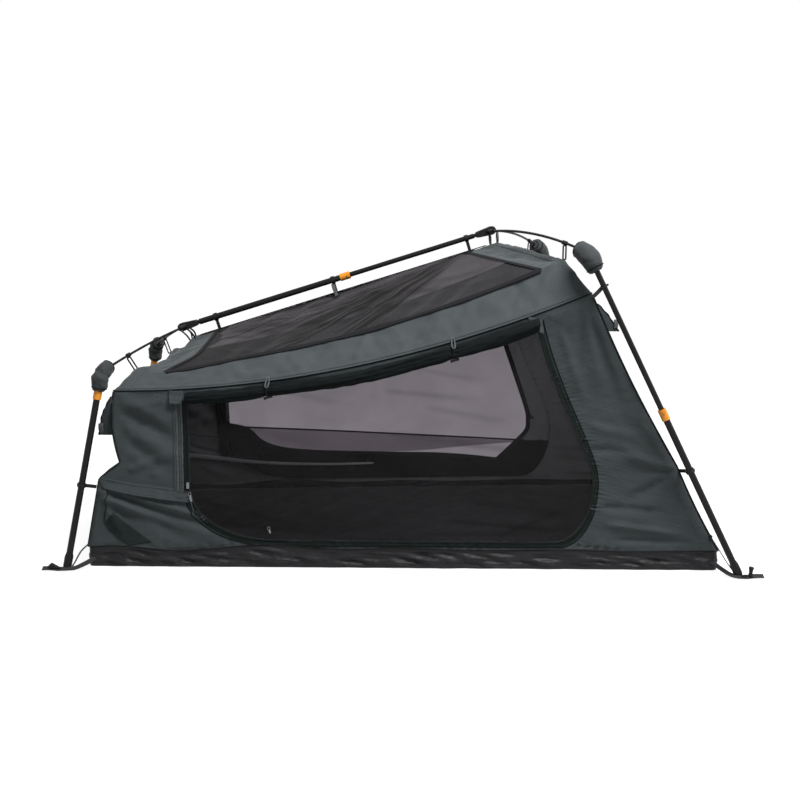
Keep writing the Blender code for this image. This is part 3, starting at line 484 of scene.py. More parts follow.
def weaveNode(tree, vector, period):
    crossing = []
    for way in ("X", "Y"):
        node = tree.nodes.new("ShaderNodeTexWave")
        node.wave_type, node.bands_direction = "BANDS", way
        node.inputs["Scale"].default_value = 0.314 / period
        node.inputs["Distortion"].default_value = 0.4
        node.inputs["Detail"].default_value = 1.0
        tree.links.new(vector, node.inputs["Vector"])
        crossing.append(node.outputs["Fac"])
    halves = [mathNode(tree, "MULTIPLY", fac, 0.5) for fac in crossing]
    return mathNode(tree, "ADD", *halves)


def bumpNode(tree, height, strength, distance, before=None):
    node = tree.nodes.new("ShaderNodeBump")
    node.inputs["Strength"].default_value = strength
    node.inputs["Distance"].default_value = distance
    tree.links.new(height, node.inputs["Height"])
    if before is not None:
        tree.links.new(before, node.inputs["Normal"])
    return node.outputs["Normal"]


def clothMaterial(name, dark, light, roughness=0.85, period=0.0011, weave=0.35, crumple=0.5, crumpleSize=16.0,
                  sheen=0.25, uvMade=True, gloss=0.16):
    material, tree, shader = newMaterial(name)
    place = coordinates(tree, "Object")
    cloth = coordinates(tree, "cloth" if uvMade else "Object")
    large = noiseNode(tree, place, 2.6, 4.0)
    fine = noiseNode(tree, place, 60.0, 3.0)
    threads = weaveNode(tree, cloth, period)
    tone = mathNode(tree, "ADD", mathNode(tree, "MULTIPLY", large, 0.55), mathNode(tree, "MULTIPLY", fine, 0.2))
    tone = mathNode(tree, "ADD", tone, mathNode(tree, "MULTIPLY", threads, 0.25))
    tree.links.new(colourNode(tree, dark, light, tone), shader.inputs["Base Color"])
    rough = scaled(tree, fine, 0.12, roughness - 0.06)
    tree.links.new(rough, shader.inputs["Roughness"])
    shader.inputs["Sheen Weight"].default_value = sheen
    shader.inputs["Sheen Roughness"].default_value = 0.4
    shader.inputs["Specular IOR Level"].default_value = gloss
    soft = noiseNode(tree, place, crumpleSize, 4.0, 0.5, 0.6)
    normal = bumpNode(tree, soft, crumple, 0.006)
    tree.links.new(bumpNode(tree, threads, weave, 0.0004, normal), shader.inputs["Normal"])
    return material


def meshMaterial(name, colour, tint, cover, paintedCreaseShade=0.0):
    material, tree, shader = newMaterial(name)
    output = tree.nodes["Material Output"]
    clear = tree.nodes.new("ShaderNodeBsdfTransparent")
    clear.inputs["Color"].default_value = (*tint, 1)
    place = coordinates(tree, "Object")
    cloth = coordinates(tree, "cloth")
    shade = noiseNode(tree, place, 5.0, 4.0, 0.55, 0.8)
    threads = weaveNode(tree, cloth, 0.0016)
    amount = scaled(tree, shade, 0.14, cover - 0.10)
    amount = mathNode(tree, "ADD", amount, mathNode(tree, "MULTIPLY", threads, 0.06))
    # painted shade: creases marked in the fold attribute also make the mesh more opaque
    fold = tree.nodes.new("ShaderNodeAttribute")
    fold.attribute_name = "fold"
    amount = mathNode(tree, "ADD", amount, mathNode(tree, "MULTIPLY", fold.outputs["Fac"], paintedCreaseShade))
    creaseShadeColour = tree.nodes.new("ShaderNodeMix")  # painted shade: the mesh's colour darkens along creases marked in the fold attribute
    creaseShadeColour.data_type = "RGBA"
    creaseShadeColour.inputs[7].default_value = (*(0.25 * c for c in colour), 1)
    tree.links.new(mathNode(tree, "MULTIPLY", fold.outputs["Fac"], 0.85), creaseShadeColour.inputs[0])
    dim, bright = (tuple(by * c for c in colour) for by in (0.7, 1.3))
    tree.links.new(colourNode(tree, dim, bright, shade), creaseShadeColour.inputs[6])
    tree.links.new(creaseShadeColour.outputs[2], shader.inputs["Base Color"])
    shader.inputs["Roughness"].default_value = 0.75
    shader.inputs["Sheen Weight"].default_value = 0.15
    shader.inputs["Specular IOR Level"].default_value = 0.05
    blendNode = tree.nodes.new("ShaderNodeMixShader")
    tree.links.new(amount, blendNode.inputs[0])
    tree.links.new(clear.outputs[0], blendNode.inputs[1])
    tree.links.new(shader.outputs[0], blendNode.inputs[2])
    tree.links.new(blendNode.outputs[0], output.inputs["Surface"])
    return material


def hardMaterial(name, dark, light, roughness, metallic=0.0, grain=400.0, bump=0.15, coat=0.0, wear=None):
    material, tree, shader = newMaterial(name)
    place = coordinates(tree, "Object")
    speck = noiseNode(tree, place, grain, 3.0)
    cloud = noiseNode(tree, place, 18.0, 4.0)
    parts = [mathNode(tree, "MULTIPLY", speck, 0.4), mathNode(tree, "MULTIPLY", cloud, 0.6)]
    base = colourNode(tree, dark, light, mathNode(tree, "ADD", *parts))
    if wear:
        scuff = tree.nodes.new("ShaderNodeValToRGB")
        scuff.color_ramp.elements[0].position, scuff.color_ramp.elements[1].position = 0.62, 0.72
        tree.links.new(noiseNode(tree, coordinates(tree, "Object", (1, 1, 0.25)), 90.0, 5.0, 0.7), scuff.inputs[0])
        over = tree.nodes.new("ShaderNodeMix")
        over.data_type = "RGBA"
        over.inputs[7].default_value = (*wear, 1)
        tree.links.new(scuff.outputs[0], over.inputs[0])
        tree.links.new(base, over.inputs[6])
        base = over.outputs[2]
    tree.links.new(base, shader.inputs["Base Color"])
    tree.links.new(scaled(tree, cloud, 0.2, roughness - 0.1), shader.inputs["Roughness"])
    shader.inputs["Metallic"].default_value = metallic
    shader.inputs["Coat Weight"].default_value = coat
    shader.inputs["Specular IOR Level"].default_value = 0.17 if max(light) < 0.05 else 0.5
    tree.links.new(bumpNode(tree, speck, bump, 0.0003), shader.inputs["Normal"])
    return material


# the wall and roof canvases are shaded and lit copies of one canvas; the roof's lighter colour is painted light from
# the top light
canvas = clothMaterial("canvasGreyGreen", (0.036, 0.044, 0.0465), (0.068, 0.080, 0.084))
canvasRoof = clothMaterial("canvasRoof", (0.050, 0.060, 0.0635), (0.092, 0.106, 0.111), crumpleSize=13.0)
canvasDark = clothMaterial("canvasRolled", (0.0050, 0.0068, 0.0068), (0.0125, 0.0150, 0.0150), crumpleSize=22.0,
                           crumple=0.7, sheen=0.03, gloss=0.05)
tubCloth = clothMaterial("groundsheet", (0.006, 0.006, 0.0068), (0.021, 0.0208, 0.0238), roughness=0.46,
                         period=0.0009, weave=0.2, crumple=0.7, crumpleSize=17.0, sheen=0.0, gloss=0.20)
mattressCloth = clothMaterial("mattressCover", (0.020, 0.020, 0.022), (0.045, 0.045, 0.048), crumpleSize=9.0)
innerCanvas = clothMaterial("canvasInside", (0.200, 0.210, 0.214), (0.290, 0.302, 0.306))
padCloth = clothMaterial("padCover", (0.040, 0.045, 0.047), (0.074, 0.081, 0.084), crumpleSize=30.0, crumple=0.5)
tape = clothMaterial("bindingTape", (0.010, 0.010, 0.011), (0.024, 0.024, 0.026), roughness=0.7, period=0.0012,
                     weave=0.6, crumple=0.2, sheen=0.05, gloss=0.05)
webbing = clothMaterial("greyWebbing", (0.055, 0.062, 0.066), (0.120, 0.130, 0.135), period=0.0016, weave=0.9,
                        crumple=0.2)
meshCloth = meshMaterial("insectMesh", (0.014, 0.0135, 0.0145), (1.0, 0.95, 1.0), 0.61, 0.16)
patchCloth = clothMaterial("cornerPatch", (0.015, 0.0205, 0.0205), (0.027, 0.034, 0.0345), crumple=0.6, sheen=0.04,
                           gloss=0.08)
meshRoof = meshMaterial("roofMesh", (0.0270, 0.0250, 0.0272), (1.0, 0.95, 1.0), 0.770, 0.24)
poleCoat = hardMaterial("blackPoleCoat", (0.0035, 0.0035, 0.004), (0.009, 0.009, 0.0095), 0.36, 0.0, 600.0, 0.08, 0.0,
                        wear=(0.016, 0.016, 0.016))
moulded = hardMaterial("blackMoulding", (0.004, 0.004, 0.004), (0.012, 0.012, 0.012), 0.45, 0.0, 900.0, 0.35)
rodCoat = hardMaterial("rodBlack", (0.005, 0.005, 0.0055), (0.014, 0.014, 0.015), 0.42, 0.0, 500.0, 0.2)
orange = hardMaterial("orangeMoulding", (0.74, 0.24, 0.004), (0.90, 0.35, 0.010), 0.38, 0.0, 700.0, 0.15, 0.1)
metal = hardMaterial("greyMetal", (0.12, 0.125, 0.13), (0.22, 0.225, 0.23), 0.35, 0.9, 500.0, 0.15)
print("materials made")


# camera, light and floor
stand = dict(
    place=(-0.055, -3.69, 1.13), pitch=80.36, yaw=-0.66, sensor=36.0, lens=44.4, reach=200.0,
    lamps=[  # name, place, aim, size, power
        ("topLight", (1.4, -2.0, 4.3), (0.0, 0.0, 0.5), 1.7, 234.0),
        ("frontLight", (0.6, -5.2, 2.4), (0.0, 0.0, 0.4), 3.5, 6.0),
        ("footLight", (-4.2, -1.6, 2.2), (-0.4, 0.0, 0.5), 2.4, 3.5),
        ("headLight", (4.4, -0.8, 1.8), (0.4, 0.0, 0.5), 2.4, 22.0),
        ("insideLight", (0.22, -0.26, 0.60), (0.52, 0.48, 0.38), 0.4, 2.2)],
    floorHalf=40, floorZ=-0.0006)


def studio():
    view = bpy.data.cameras.new("view")
    camera = linked("view", view)
    camera.location = stand["place"]
    camera.rotation_euler = (math.radians(stand["pitch"]), 0.0, math.radians(stand["yaw"]))
    view.sensor_width, view.lens, view.clip_end = stand["sensor"], stand["lens"], stand["reach"]
    bpy.context.scene.camera = camera
    for name, place, aim, size, power in stand["lamps"]:
        lamp = bpy.data.lights.new(name, "AREA")
        lamp.size, lamp.energy = size, power
        holder = linked(name, lamp)
        holder.location = place
        holder.visible_camera = False
        holder.rotation_euler = (Vector(aim) - Vector(place)).to_track_quat("-Z", "Y").to_euler()
    world = bpy.data.worlds.new("paleStudio")
    bpy.context.scene.world = world
    world.use_nodes = True
    tree = world.node_tree
    back = tree.nodes["Background"]
    back.inputs["Color"].default_value = (1, 1, 1, 1)
    seen = seenRay(tree)
    tree.links.new(scaled(tree, seen, 0.76, 0.24), back.inputs["Strength"])
    bpy.context.scene.view_settings.view_transform = "Standard"

    material, tree, shader = newMaterial("paleFloor")
    shader.inputs["Base Color"].default_value = (0.40, 0.40, 0.40, 1)
    shader.inputs["Roughness"].default_value = 0.9
    shader.inputs["Emission Color"].default_value = (1, 1, 1, 1)
    tree.links.new(mathNode(tree, "MULTIPLY", seenRay(tree), 0.86), shader.inputs["Emission Strength"])
    half, z = stand["floorHalf"], stand["floorZ"]
    corners = [(-half, -half, z), (half, -half, z), (half, half, z), (-half, half, z)]
    floor = makeMesh("floor", corners, [(0, 1, 2, 3)], material, smoothShade=False)


def seenRay(tree):
    path = tree.nodes.new("ShaderNodeLightPath")
    total = mathNode(tree, "ADD", path.outputs["Is Camera Ray"], path.outputs["Is Glossy Ray"])
    total = mathNode(tree, "ADD", total, path.outputs["Is Transmission Ray"])
    return mathNode(tree, "MINIMUM", total, 1.0)


studio()
print("camera, light and floor made")


# what a soft piece needs to ride on the frame: a parent body and, where it flattens, a mesh of its own
def softPiece(piece, body, flattens=True):  # flattens: a piece that flattens on to the tub's rim as the roof drops gets a mesh of its own here
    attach(piece, body)
    if flattens:
        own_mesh(piece)
    return piece


def tentPiece(piece, flattens=True):
    return softPiece(piece, "tent", flattens)


def flatArea(piece):
    mesh = piece.data
    areas = np.zeros(len(mesh.polygons))
    mesh.polygons.foreach_get("area", areas)
    return float(areas.sum())


# side walls, built in rings from the door opening out to the panel's edges
# each fold: start, end, width, height, width at its end
wall = dict(
    rings=30, counts=(110, 230, 250, 210), sheet=0.0011, puckerHeight=0.0034, puckerSpacing=0.0125, puckerReach=0.030,
    allowance=0.11, foldScale=1.55,
    lowerPanelFolds=[((-1.035, 0.270), *fold) for fold in (
        ((-0.60, 0.150), 0.010, 0.0055, 0.016), ((-0.50, 0.106), 0.012, 0.0065, 0.020),
        ((-0.72, 0.195), 0.008, -0.0045, 0.014), ((-0.82, 0.110), 0.012, 0.0050, 0.024),
        ((-0.66, 0.100), 0.012, -0.0055, 0.022), ((-0.96, 0.085), 0.012, 0.0060, 0.022))],
    aboveHemFolds=[
        ((-0.93, 0.36), (-0.76, 0.55), 0.016, 0.004, 0.022), ((-0.95, 0.33), (-0.78, 0.40), 0.013, 0.005, 0.02),
        ((-0.93, 0.45), (-0.80, 0.56), 0.012, -0.003, 0.018), ((-0.86, 0.30), (-0.77, 0.50), 0.012, 0.003, 0.018),
        ((-0.91, 0.55), (-0.78, 0.58), 0.012, 0.0035, 0.016)],
    headFolds=[
        ((0.585, 0.90), (0.64, 0.60), 0.014, 0.004, 0.022), ((0.59, 0.88), (0.70, 0.58), 0.012, -0.004, 0.02),
        ((0.57, 0.90), (0.56, 0.62), 0.014, -0.0035, 0.02), ((0.60, 0.90), (0.76, 0.50), 0.010, 0.004, 0.018),
        ((0.50, 0.83), (0.60, 0.55), 0.012, 0.0035, 0.02), ((0.66, 0.16), (0.98, 0.12), 0.012, 0.0045, 0.016),
        ((0.70, 0.105), (0.99, 0.095), 0.009, -0.0040, 0.012), ((0.64, 0.22), (0.90, 0.20), 0.012, -0.004, 0.018),
        ((0.60, 0.42), (0.78, 0.40), 0.012, -0.003, 0.016), ((0.60, 0.50), (0.80, 0.45), 0.014, 0.003, 0.02)],
    hemFolds=[  # slack across the foot part above the hem, and the deep fold under the hem
        ((-0.97, 0.575), (-0.755, 0.485), 0.020, 0.0050, 0.03),
        ((-0.965, 0.535), (-0.755, 0.425), 0.018, -0.0055, 0.03),
        ((-0.955, 0.490), (-0.755, 0.365), 0.020, 0.0055, 0.03),
        ((-0.945, 0.430), (-0.77, 0.315), 0.018, -0.0045, 0.03),
        ((-1.035, 0.262), (-0.58, 0.125), 0.013, -0.0100, 0.026),
        ((-1.035, 0.244), (-0.60, 0.098), 0.014, 0.0075, 0.028),
        ((-1.035, 0.225), (-0.70, 0.085), 0.014, -0.0050, 0.026)])


def wallFolds(p):  # p: points in (x, z) seen from outside the near side
    total = creases(p, wall["lowerPanelFolds"], 0.06, 0.4, skew=0.4)
    total = creases(p, wall["aboveHemFolds"], 0.15, 0.4, total=total)
    # from the head clip towards the door and up to the eave
    aims = ((0.66, 0.43), (0.68, 0.34), (0.70, 0.25), (0.67, 0.20), (0.74, 0.13), (0.80, 0.54), (0.72, 0.60))
    total = total + fan(p, (0.905, 0.350), aims, 0.009, 0.026, 0.0050, 5)
    total = creases(p, wall["headFolds"], 0.15, 0.4, skew=0.3, total=total)
    total = total + 0.0020 * waves(p * [0.6, 1.0], 0.21, 11) + 0.0005 * waves(p * [1.0, 1.3], 0.075, 12)
    total = total + 0.0003 * waves(p, 0.022, 13)
    low = np.exp(-(p[:, 1] - 0.07) / 0.035) * 0.0022 * waves(p[:, :1], 0.045, 14)
    total = creases(p, wall["hemFolds"], 0.10, 0.35, total=total)
    return wall["foldScale"] * total + low


def sideWall():
    sides = doorSides()
    corners = [(0.0, 1.0), (0.0, 0.0), (1.0, 0.0), (1.0, 1.0), (0.0, 1.0)]
    inner, outer = [], []
    for index, (run, count) in enumerate(zip(sides, wall["counts"])):
        spots = evenly(run, count + 1)[:-1]
        inner.append(np.stack(wallPlace(spots[:, 0], spots[:, 1]), 1))
        t = np.linspace(0, 1, count + 1)[:-1, None]
        outer.append(mix(np.array(corners[index]), np.array(corners[index + 1]), t))
    inner, outer = np.vstack(inner), np.vstack(outer)
    steps = np.linspace(0, 1, wall["rings"] + 1) ** 1.35
    uv = mix(inner[None], outer[None], steps[:, None, None])
    points = wallPoint(uv[..., 0], uv[..., 1])
    rows, columns = points.shape[:2]
    flat = points.reshape(-1, 3)
    made = makeMesh("sideWallNear", flat, gridFaces(rows, columns, closed=True)[:, ::-1], canvas, flat[:, [0, 2]])
    ways = faceTo(made, 1, -1)
    lift = wallFolds(flat[:, [0, 2]])
    away = np.linalg.norm(points - points[:1], axis=2).ravel()
    run = distances(points[0])
    along = np.tile(run, rows)
    column = np.tile(np.arange(columns), rows)
    edges = np.cumsum((0,) + wall["counts"])
    onHead = smooth((column - edges[2] + 30) / 60) * smooth((edges[3] - 25 - column) / 50)
    onFoot = 0.5 * smooth((edges[1] + 40 - column) / 60) * smooth((column - 20) / 30)
    jitter = 0.7 * waves(along[:, None], 0.07, 21)
    strength = 0.65 + 0.35 * waves(along[:, None], 0.05, 22)
    pucker = np.sin(along * 2 * np.pi / wall["puckerSpacing"] + 2.2 * jitter) * strength
    reach = wall["puckerReach"] * (1 + 0.3 * waves(along[:, None], 0.04, 23))
    pucker = wall["puckerHeight"] * pucker * (onHead + onFoot)
    lift = lift + pucker * np.exp(-(away / reach) ** 2) * smooth(away / 0.004)
    u, v = uv[..., 0], uv[..., 1]
    toEdge = np.minimum.reduce([u * 1.9, (1 - u) * 1.9, v * 0.7, (1 - v) * 0.7]).ravel()
    lift = lift * smooth(toEdge / 0.02) * (0.25 + 0.75 * smooth(away / 0.012))
    moveVertices(made, flat + ways * lift[:, None])
    return made


sideNear = sideWall()
thinWall = surfaceOf(sideNear)
area = flatArea(sideNear)
thicken(sideNear, wall["sheet"], -1.0)
sideFar = otherSide(sideNear, "sideWallFar")
sideFar.data.materials.append(innerCanvas)
sideFar.data.polygons.foreach_set("material_index", [int(face.normal.y < 0) for face in sideFar.data.polygons])
for piece, node in ((sideNear, "side_wall_near"), (sideFar, "side_wall_far")):
    tentPiece(piece)
    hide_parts(node)
print("side walls made")


# the mesh doors fill the openings with one layer
def coons(bottom, top, left, right):  # four edges: rows left to right, columns bottom to top
    n, m = len(bottom), len(left)
    s, t = np.linspace(0, 1, n)[None, :, None], np.linspace(0, 1, m)[:, None, None]
    ruled = (1 - t) * bottom[None] + t * top[None] + (1 - s) * left[:, None] + s * right[:, None]
    corners = ((1 - s) * (1 - t) * bottom[0] + s * (1 - t) * bottom[-1] + (1 - s) * t * top[0] + s * t * top[-1])
    return ruled - corners


# stores painted crease shade in the fold attribute, which darkens the mesh materials
def addCreaseShade(piece, values):
    layer = piece.data.attributes.new("fold", "FLOAT", "POINT")
    layer.data.foreach_set("value", np.clip(values, 0, 1).astype(np.float32))


doorMeshLook = dict(
    columns=170, rows=90, overlap=0.003,
    folds=[((-0.70, 0.57), (0.40, 0.16), 0.03, 0.004, 0.05), ((0.40, 0.78), (-0.55, 0.14), 0.03, -0.004, 0.05),
           ((0.42, 0.80), (0.55, 0.20), 0.014, 0.004, 0.03), ((-0.71, 0.50), (-0.40, 0.12), 0.014, 0.003, 0.03)],
    creaseShadeLines=[  # painted shade along the creases: start, end, width, strength
        ((0.10, 0.170), (0.60, 0.130), 0.006, 0.9), ((0.02, 0.120), (0.52, 0.125), 0.007, 0.7),
        ((0.20, 0.235), (0.61, 0.185), 0.008, 0.6), ((-0.62, 0.155), (-0.10, 0.100), 0.007, 0.7),
        ((-0.70, 0.230), (-0.30, 0.130), 0.008, 0.6), ((0.30, 0.110), (0.56, 0.215), 0.006, 0.6),
        ((-0.70, 0.52), (-0.20, 0.40), 0.010, 0.4), ((-0.1, 0.47), (0.36, 0.42), 0.009, 0.5),
        ((0.05, 0.56), (0.38, 0.50), 0.008, 0.4)])


def doorMesh():
    rows, columns = doorMeshLook["rows"], doorMeshLook["columns"]
    foot, bottom, head, top = (evenly(run, count) for run, count in zip(
        doorSides(doorMeshLook["overlap"]), (rows, columns) * 2))
    spots = coons(bottom, top[::-1], foot[::-1], head)
    flat = spots.reshape(-1, 2)
    u, v = wallPlace(flat[:, 0], flat[:, 1])
    points = wallPoint(u, v)
    column, row = np.tile(np.r_[:columns], rows), np.repeat(np.r_[:rows], columns)
    edge = np.minimum.reduce([column / 12.0, (columns - 1 - column) / 12.0, row / 8.0, (rows - 1 - row) / 8.0])
    folds = 0.004 * waves(flat * [0.6, 1.0], 0.30, 31) + 0.0016 * waves(flat * [1.0, 0.5], 0.09, 32)
    folds = creases(flat, doorMeshLook["folds"], 0.12, 0.35, total=folds)
    points[:, 1] += 0.0015 + folds * smooth(edge) + 0.004 * smooth(edge)
    made = makeMesh("doorMeshNear", points, gridFaces(rows, columns), meshCloth, flat)
    # painted shade: dark lines along creases and soft random patches
    creaseShadeLines = creases(flat, [(*line, 1.8 * line[2]) for line in doorMeshLook["creaseShadeLines"]], 0.15, 0.35)
    addCreaseShade(made, creaseShadeLines + 0.10 * smooth(waves(flat * [0.6, 1.2], 0.35, 33)))
    return made


meshNear = doorMesh()
meshFar = otherSide(meshNear, "doorMeshFar")
for piece, node in ((meshNear, "door_mesh_near"), (meshFar, "door_mesh_far")):
    tentPiece(piece)
    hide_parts(node)
    flatArea(piece)
print("mesh doors made")


# roof: a canvas sheet round the mesh window, in rows from the foot eave to the head eave
roof = dict(  # tipReach and tipDrop draw out the mesh window's foot corner
    tipReach=0.075, tipDrop=0.23, bandColumns=26, slopeColumns=46, hipRows=26, stripRows=14, midRows=190,
    sheet=0.0011,
    endFolds=[  # start, end, width, height
        ((0.55, -0.46), (0.36, -0.05), 0.014, 0.004), ((0.50, -0.40), (0.30, -0.10), 0.012, -0.003),
        ((0.59, -0.30), (0.37, -0.03), 0.014, 0.004), ((0.58, -0.12), (0.37, -0.01), 0.012, -0.003),
        ((-0.97, -0.33), (-0.80, -0.04), 0.013, 0.004), ((-0.95, -0.20), (-0.80, -0.02), 0.012, -0.004),
        ((-0.96, -0.37), (-0.86, -0.20), 0.011, 0.003), ((-0.90, -0.28), (-0.76, -0.10), 0.012, -0.003)],
    crossFolds=[  # of the mesh: start, end, width, strength
        ((-0.66, -0.02), (-0.30, -0.27), 0.012, 0.7), ((-0.60, -0.05), (0.0, -0.32), 0.014, 0.6),
        ((-0.40, -0.02), (0.20, -0.36), 0.012, 0.5), ((-0.70, -0.18), (-0.50, -0.30), 0.012, 0.7),
        ((-0.2, -0.03), (0.38, -0.37), 0.012, 0.6), ((-0.69, -0.10), (-0.2, -0.20), 0.012, 0.4)])
roofKnots = [0.0, 0.1, 0.9, 1.0]


def roofRow(a):  # the near half of a row: eave, band and ridge points
    eaveX, bandX, ridgeX = (np.interp(a, roofKnots, [tent[key] for key in keys]) for keys in (
        ("eaveFootX", "meshFootBand", "meshHeadBand", "eaveHeadX"),
        ("bandFootX", "meshFootBand", "meshHeadBand", "bandHeadX"),
        ("ridgeFootX", "meshFootRidge", "meshHeadRidge", "ridgeHeadX")))
    return eaveLine(eaveX), bandLine(bandX), ridgeLine(ridgeX)


def roofPoint(a, c):  # c: 0 at the near eave, 1/3 at the band's top seam, 1 at the ridge
    a, c = np.broadcast_arrays(np.asarray(a, float), np.asarray(c, float))
    eave, band, ridge = roofRow(a)
    low = mix(eave, band, np.clip(c * 3, 0, 1)[..., None])
    spot = np.where((c < 1 / 3)[..., None], low, mix(band, ridge, np.clip((c - 1 / 3) * 1.5, 0, 1)[..., None]))
    spot[..., 2] -= 0.030 * np.sin(np.pi * np.clip((c - 1 / 3) * 1.5, 0, 1)) * np.exp(-(a / 0.07) ** 2)
    foot, head = bandLine(np.array(tent["meshFootBand"] - roof["tipReach"])), bandLine(np.array(tent["meshFootBand"]))
    alongRoof = np.where(a < 0.1, smooth(a / 0.1), 1 - smooth((a - 0.1) / 0.16))
    upRoof = np.where(c < 1 / 3, smooth(c * 3), np.exp(-((c - 1 / 3) / 0.11) ** 2))
    near = alongRoof * upRoof
    return spot + near[..., None] * (foot - head + (eave - band) * roof["tipDrop"])


def hipPoint(t, c, head):  # t: 0 on the end eave, 1 on the first row
    corner = eaveLine(np.array(tent["eaveHeadX"] if head else tent["eaveFootX"]))
    c = np.asarray(c, float)
    end = corner * np.stack([np.ones_like(c), 1 - c, np.ones_like(c)], -1)
    row = roofPoint(1.0 if head else 0.0, c)
    spot = end + (row - end) * np.asarray(t)[..., None]
    if not head:  # slack canvas between the two elastic loops
        t = np.broadcast_to(np.asarray(t, float), spot.shape[:-1])
        sag = 0.041 * np.sin(np.pi * np.clip(t, 0, 1) ** 1.25)
        spot[..., 2] -= sag * smooth(c / 0.16) * (0.34 + 0.66 * smooth((c - 0.36) / 0.3))
    return spot


def roofGrid():
    c = np.r_[np.linspace(0, 1 / 3, roof["bandColumns"], endpoint=False),
              np.linspace(1 / 3, 1, roof["slopeColumns"] + 1)]
    rows = [hipPoint(np.full_like(c, t), c, False) for t in np.linspace(0, 1, roof["hipRows"], endpoint=False)]
    a = np.r_[np.linspace(0, 0.1, roof["stripRows"], endpoint=False),
              np.linspace(0.1, 0.9, roof["midRows"], endpoint=False),
              np.linspace(0.9, 1.0, roof["stripRows"], endpoint=False)]
    rows += [roofPoint(k, c) for k in a]
    rows += [hipPoint(np.full_like(c, t), c, True) for t in np.linspace(1, 0, roof["hipRows"])]
    half = np.array(rows)
    other = half[:, :-1][:, ::-1] * [1, -1, 1]
    return np.concatenate([half, other], 1)


def roofFolds(p):  # p: points in (x, y), the near half's y negative
    near = p.copy()
    near[:, 1] = -np.abs(near[:, 1])
    total = 0.0
    for index, x in enumerate(np.linspace(-0.86, 0.50, 17)):
        half = 0.39 + 0.06 * (x + 0.98)
        end = (x + 0.10 + 0.03 * math.sin(index * 2.1), -half + 0.085)
        total = total + crease(near, (x, -half), end, 0.011, 0.0040 * math.sin(index * 1.7 + 0.6), 0.016, 0.25, 0.3)
    total = creases(near, [(*fold, 1.4 * fold[2]) for fold in roof["endFolds"]], 0.15, 0.3, total=total)
    return 1.5 * total + 0.0026 * waves(p, 0.17, 41) + 0.0014 * waves(p, 0.055, 42) + 0.0004 * waves(p, 0.02, 43)


def toWindow(points):  # how far each point is from the edge of the mesh window
    along, up = np.linspace(0.1, 0.9, 400), np.linspace(1 / 3, 1, 160)
    edge = np.vstack([roofPoint(along, 1 / 3), roofPoint(0.1, up), roofPoint(0.9, up)])
    tree = KDTree(len(edge))
    for index, spot in enumerate(edge):
        tree.insert(spot, index)
    tree.balance()
    return np.array([tree.find((x, -abs(y), z))[2] for x, y, z in points])


def roofCanopy():
    grid = roofGrid()
    rows, columns = grid.shape[:2]
    flat = grid.reshape(-1, 3)
    across = np.cumsum(np.linalg.norm(np.diff(grid, axis=1, prepend=grid[:, :1]), axis=2), 1).ravel()
    faces = gridFaces(rows, columns)
    row, column = faces[:, 0] // columns, faces[:, 0] % columns
    first = roof["hipRows"] + roof["stripRows"]
    band = roof["bandColumns"]
    window = (row >= first) & (row < first + roof["midRows"]) & (column >= band) & (column < columns - 1 - band)
    made = makeMesh("roofCanopy", flat, faces[~window], canvasRoof, np.stack([flat[:, 0], across], 1))
    work = bmesh.new()
    work.from_mesh(made.data)
    bmesh.ops.delete(work, geom=[v for v in work.verts if not v.link_faces], context="VERTS")
    bmesh.ops.remove_doubles(work, verts=work.verts, dist=0.00005)
    work.to_mesh(made.data)
    work.free()
    ways = faceTo(made, 2, 1)
    points = vertexData(made)
    half = mix(tent["eaveFootHalf"], tent["eaveHeadHalf"], share(points[:, 0], tent["eaveFootX"], tent["eaveHeadX"]))
    toEdge = np.minimum.reduce([half - np.abs(points[:, 1]), points[:, 0] - tent["eaveFootX"],
                                tent["eaveHeadX"] - points[:, 0]])
    lift = roofFolds(points[:, :2]) * smooth(toEdge / 0.03) * (0.06 + 0.94 * smooth(toWindow(points) / 0.030))
    moveVertices(made, points + ways * lift[:, None])
    return made


canopy = roofCanopy()
roofTree = surfaceOf(canopy)
canopyArea = flatArea(canopy)
thicken(canopy, roof["sheet"], -1.0)
tentPiece(canopy)
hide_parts("roof_canopy")
print("roof canopy made", round(canopyArea, 3))


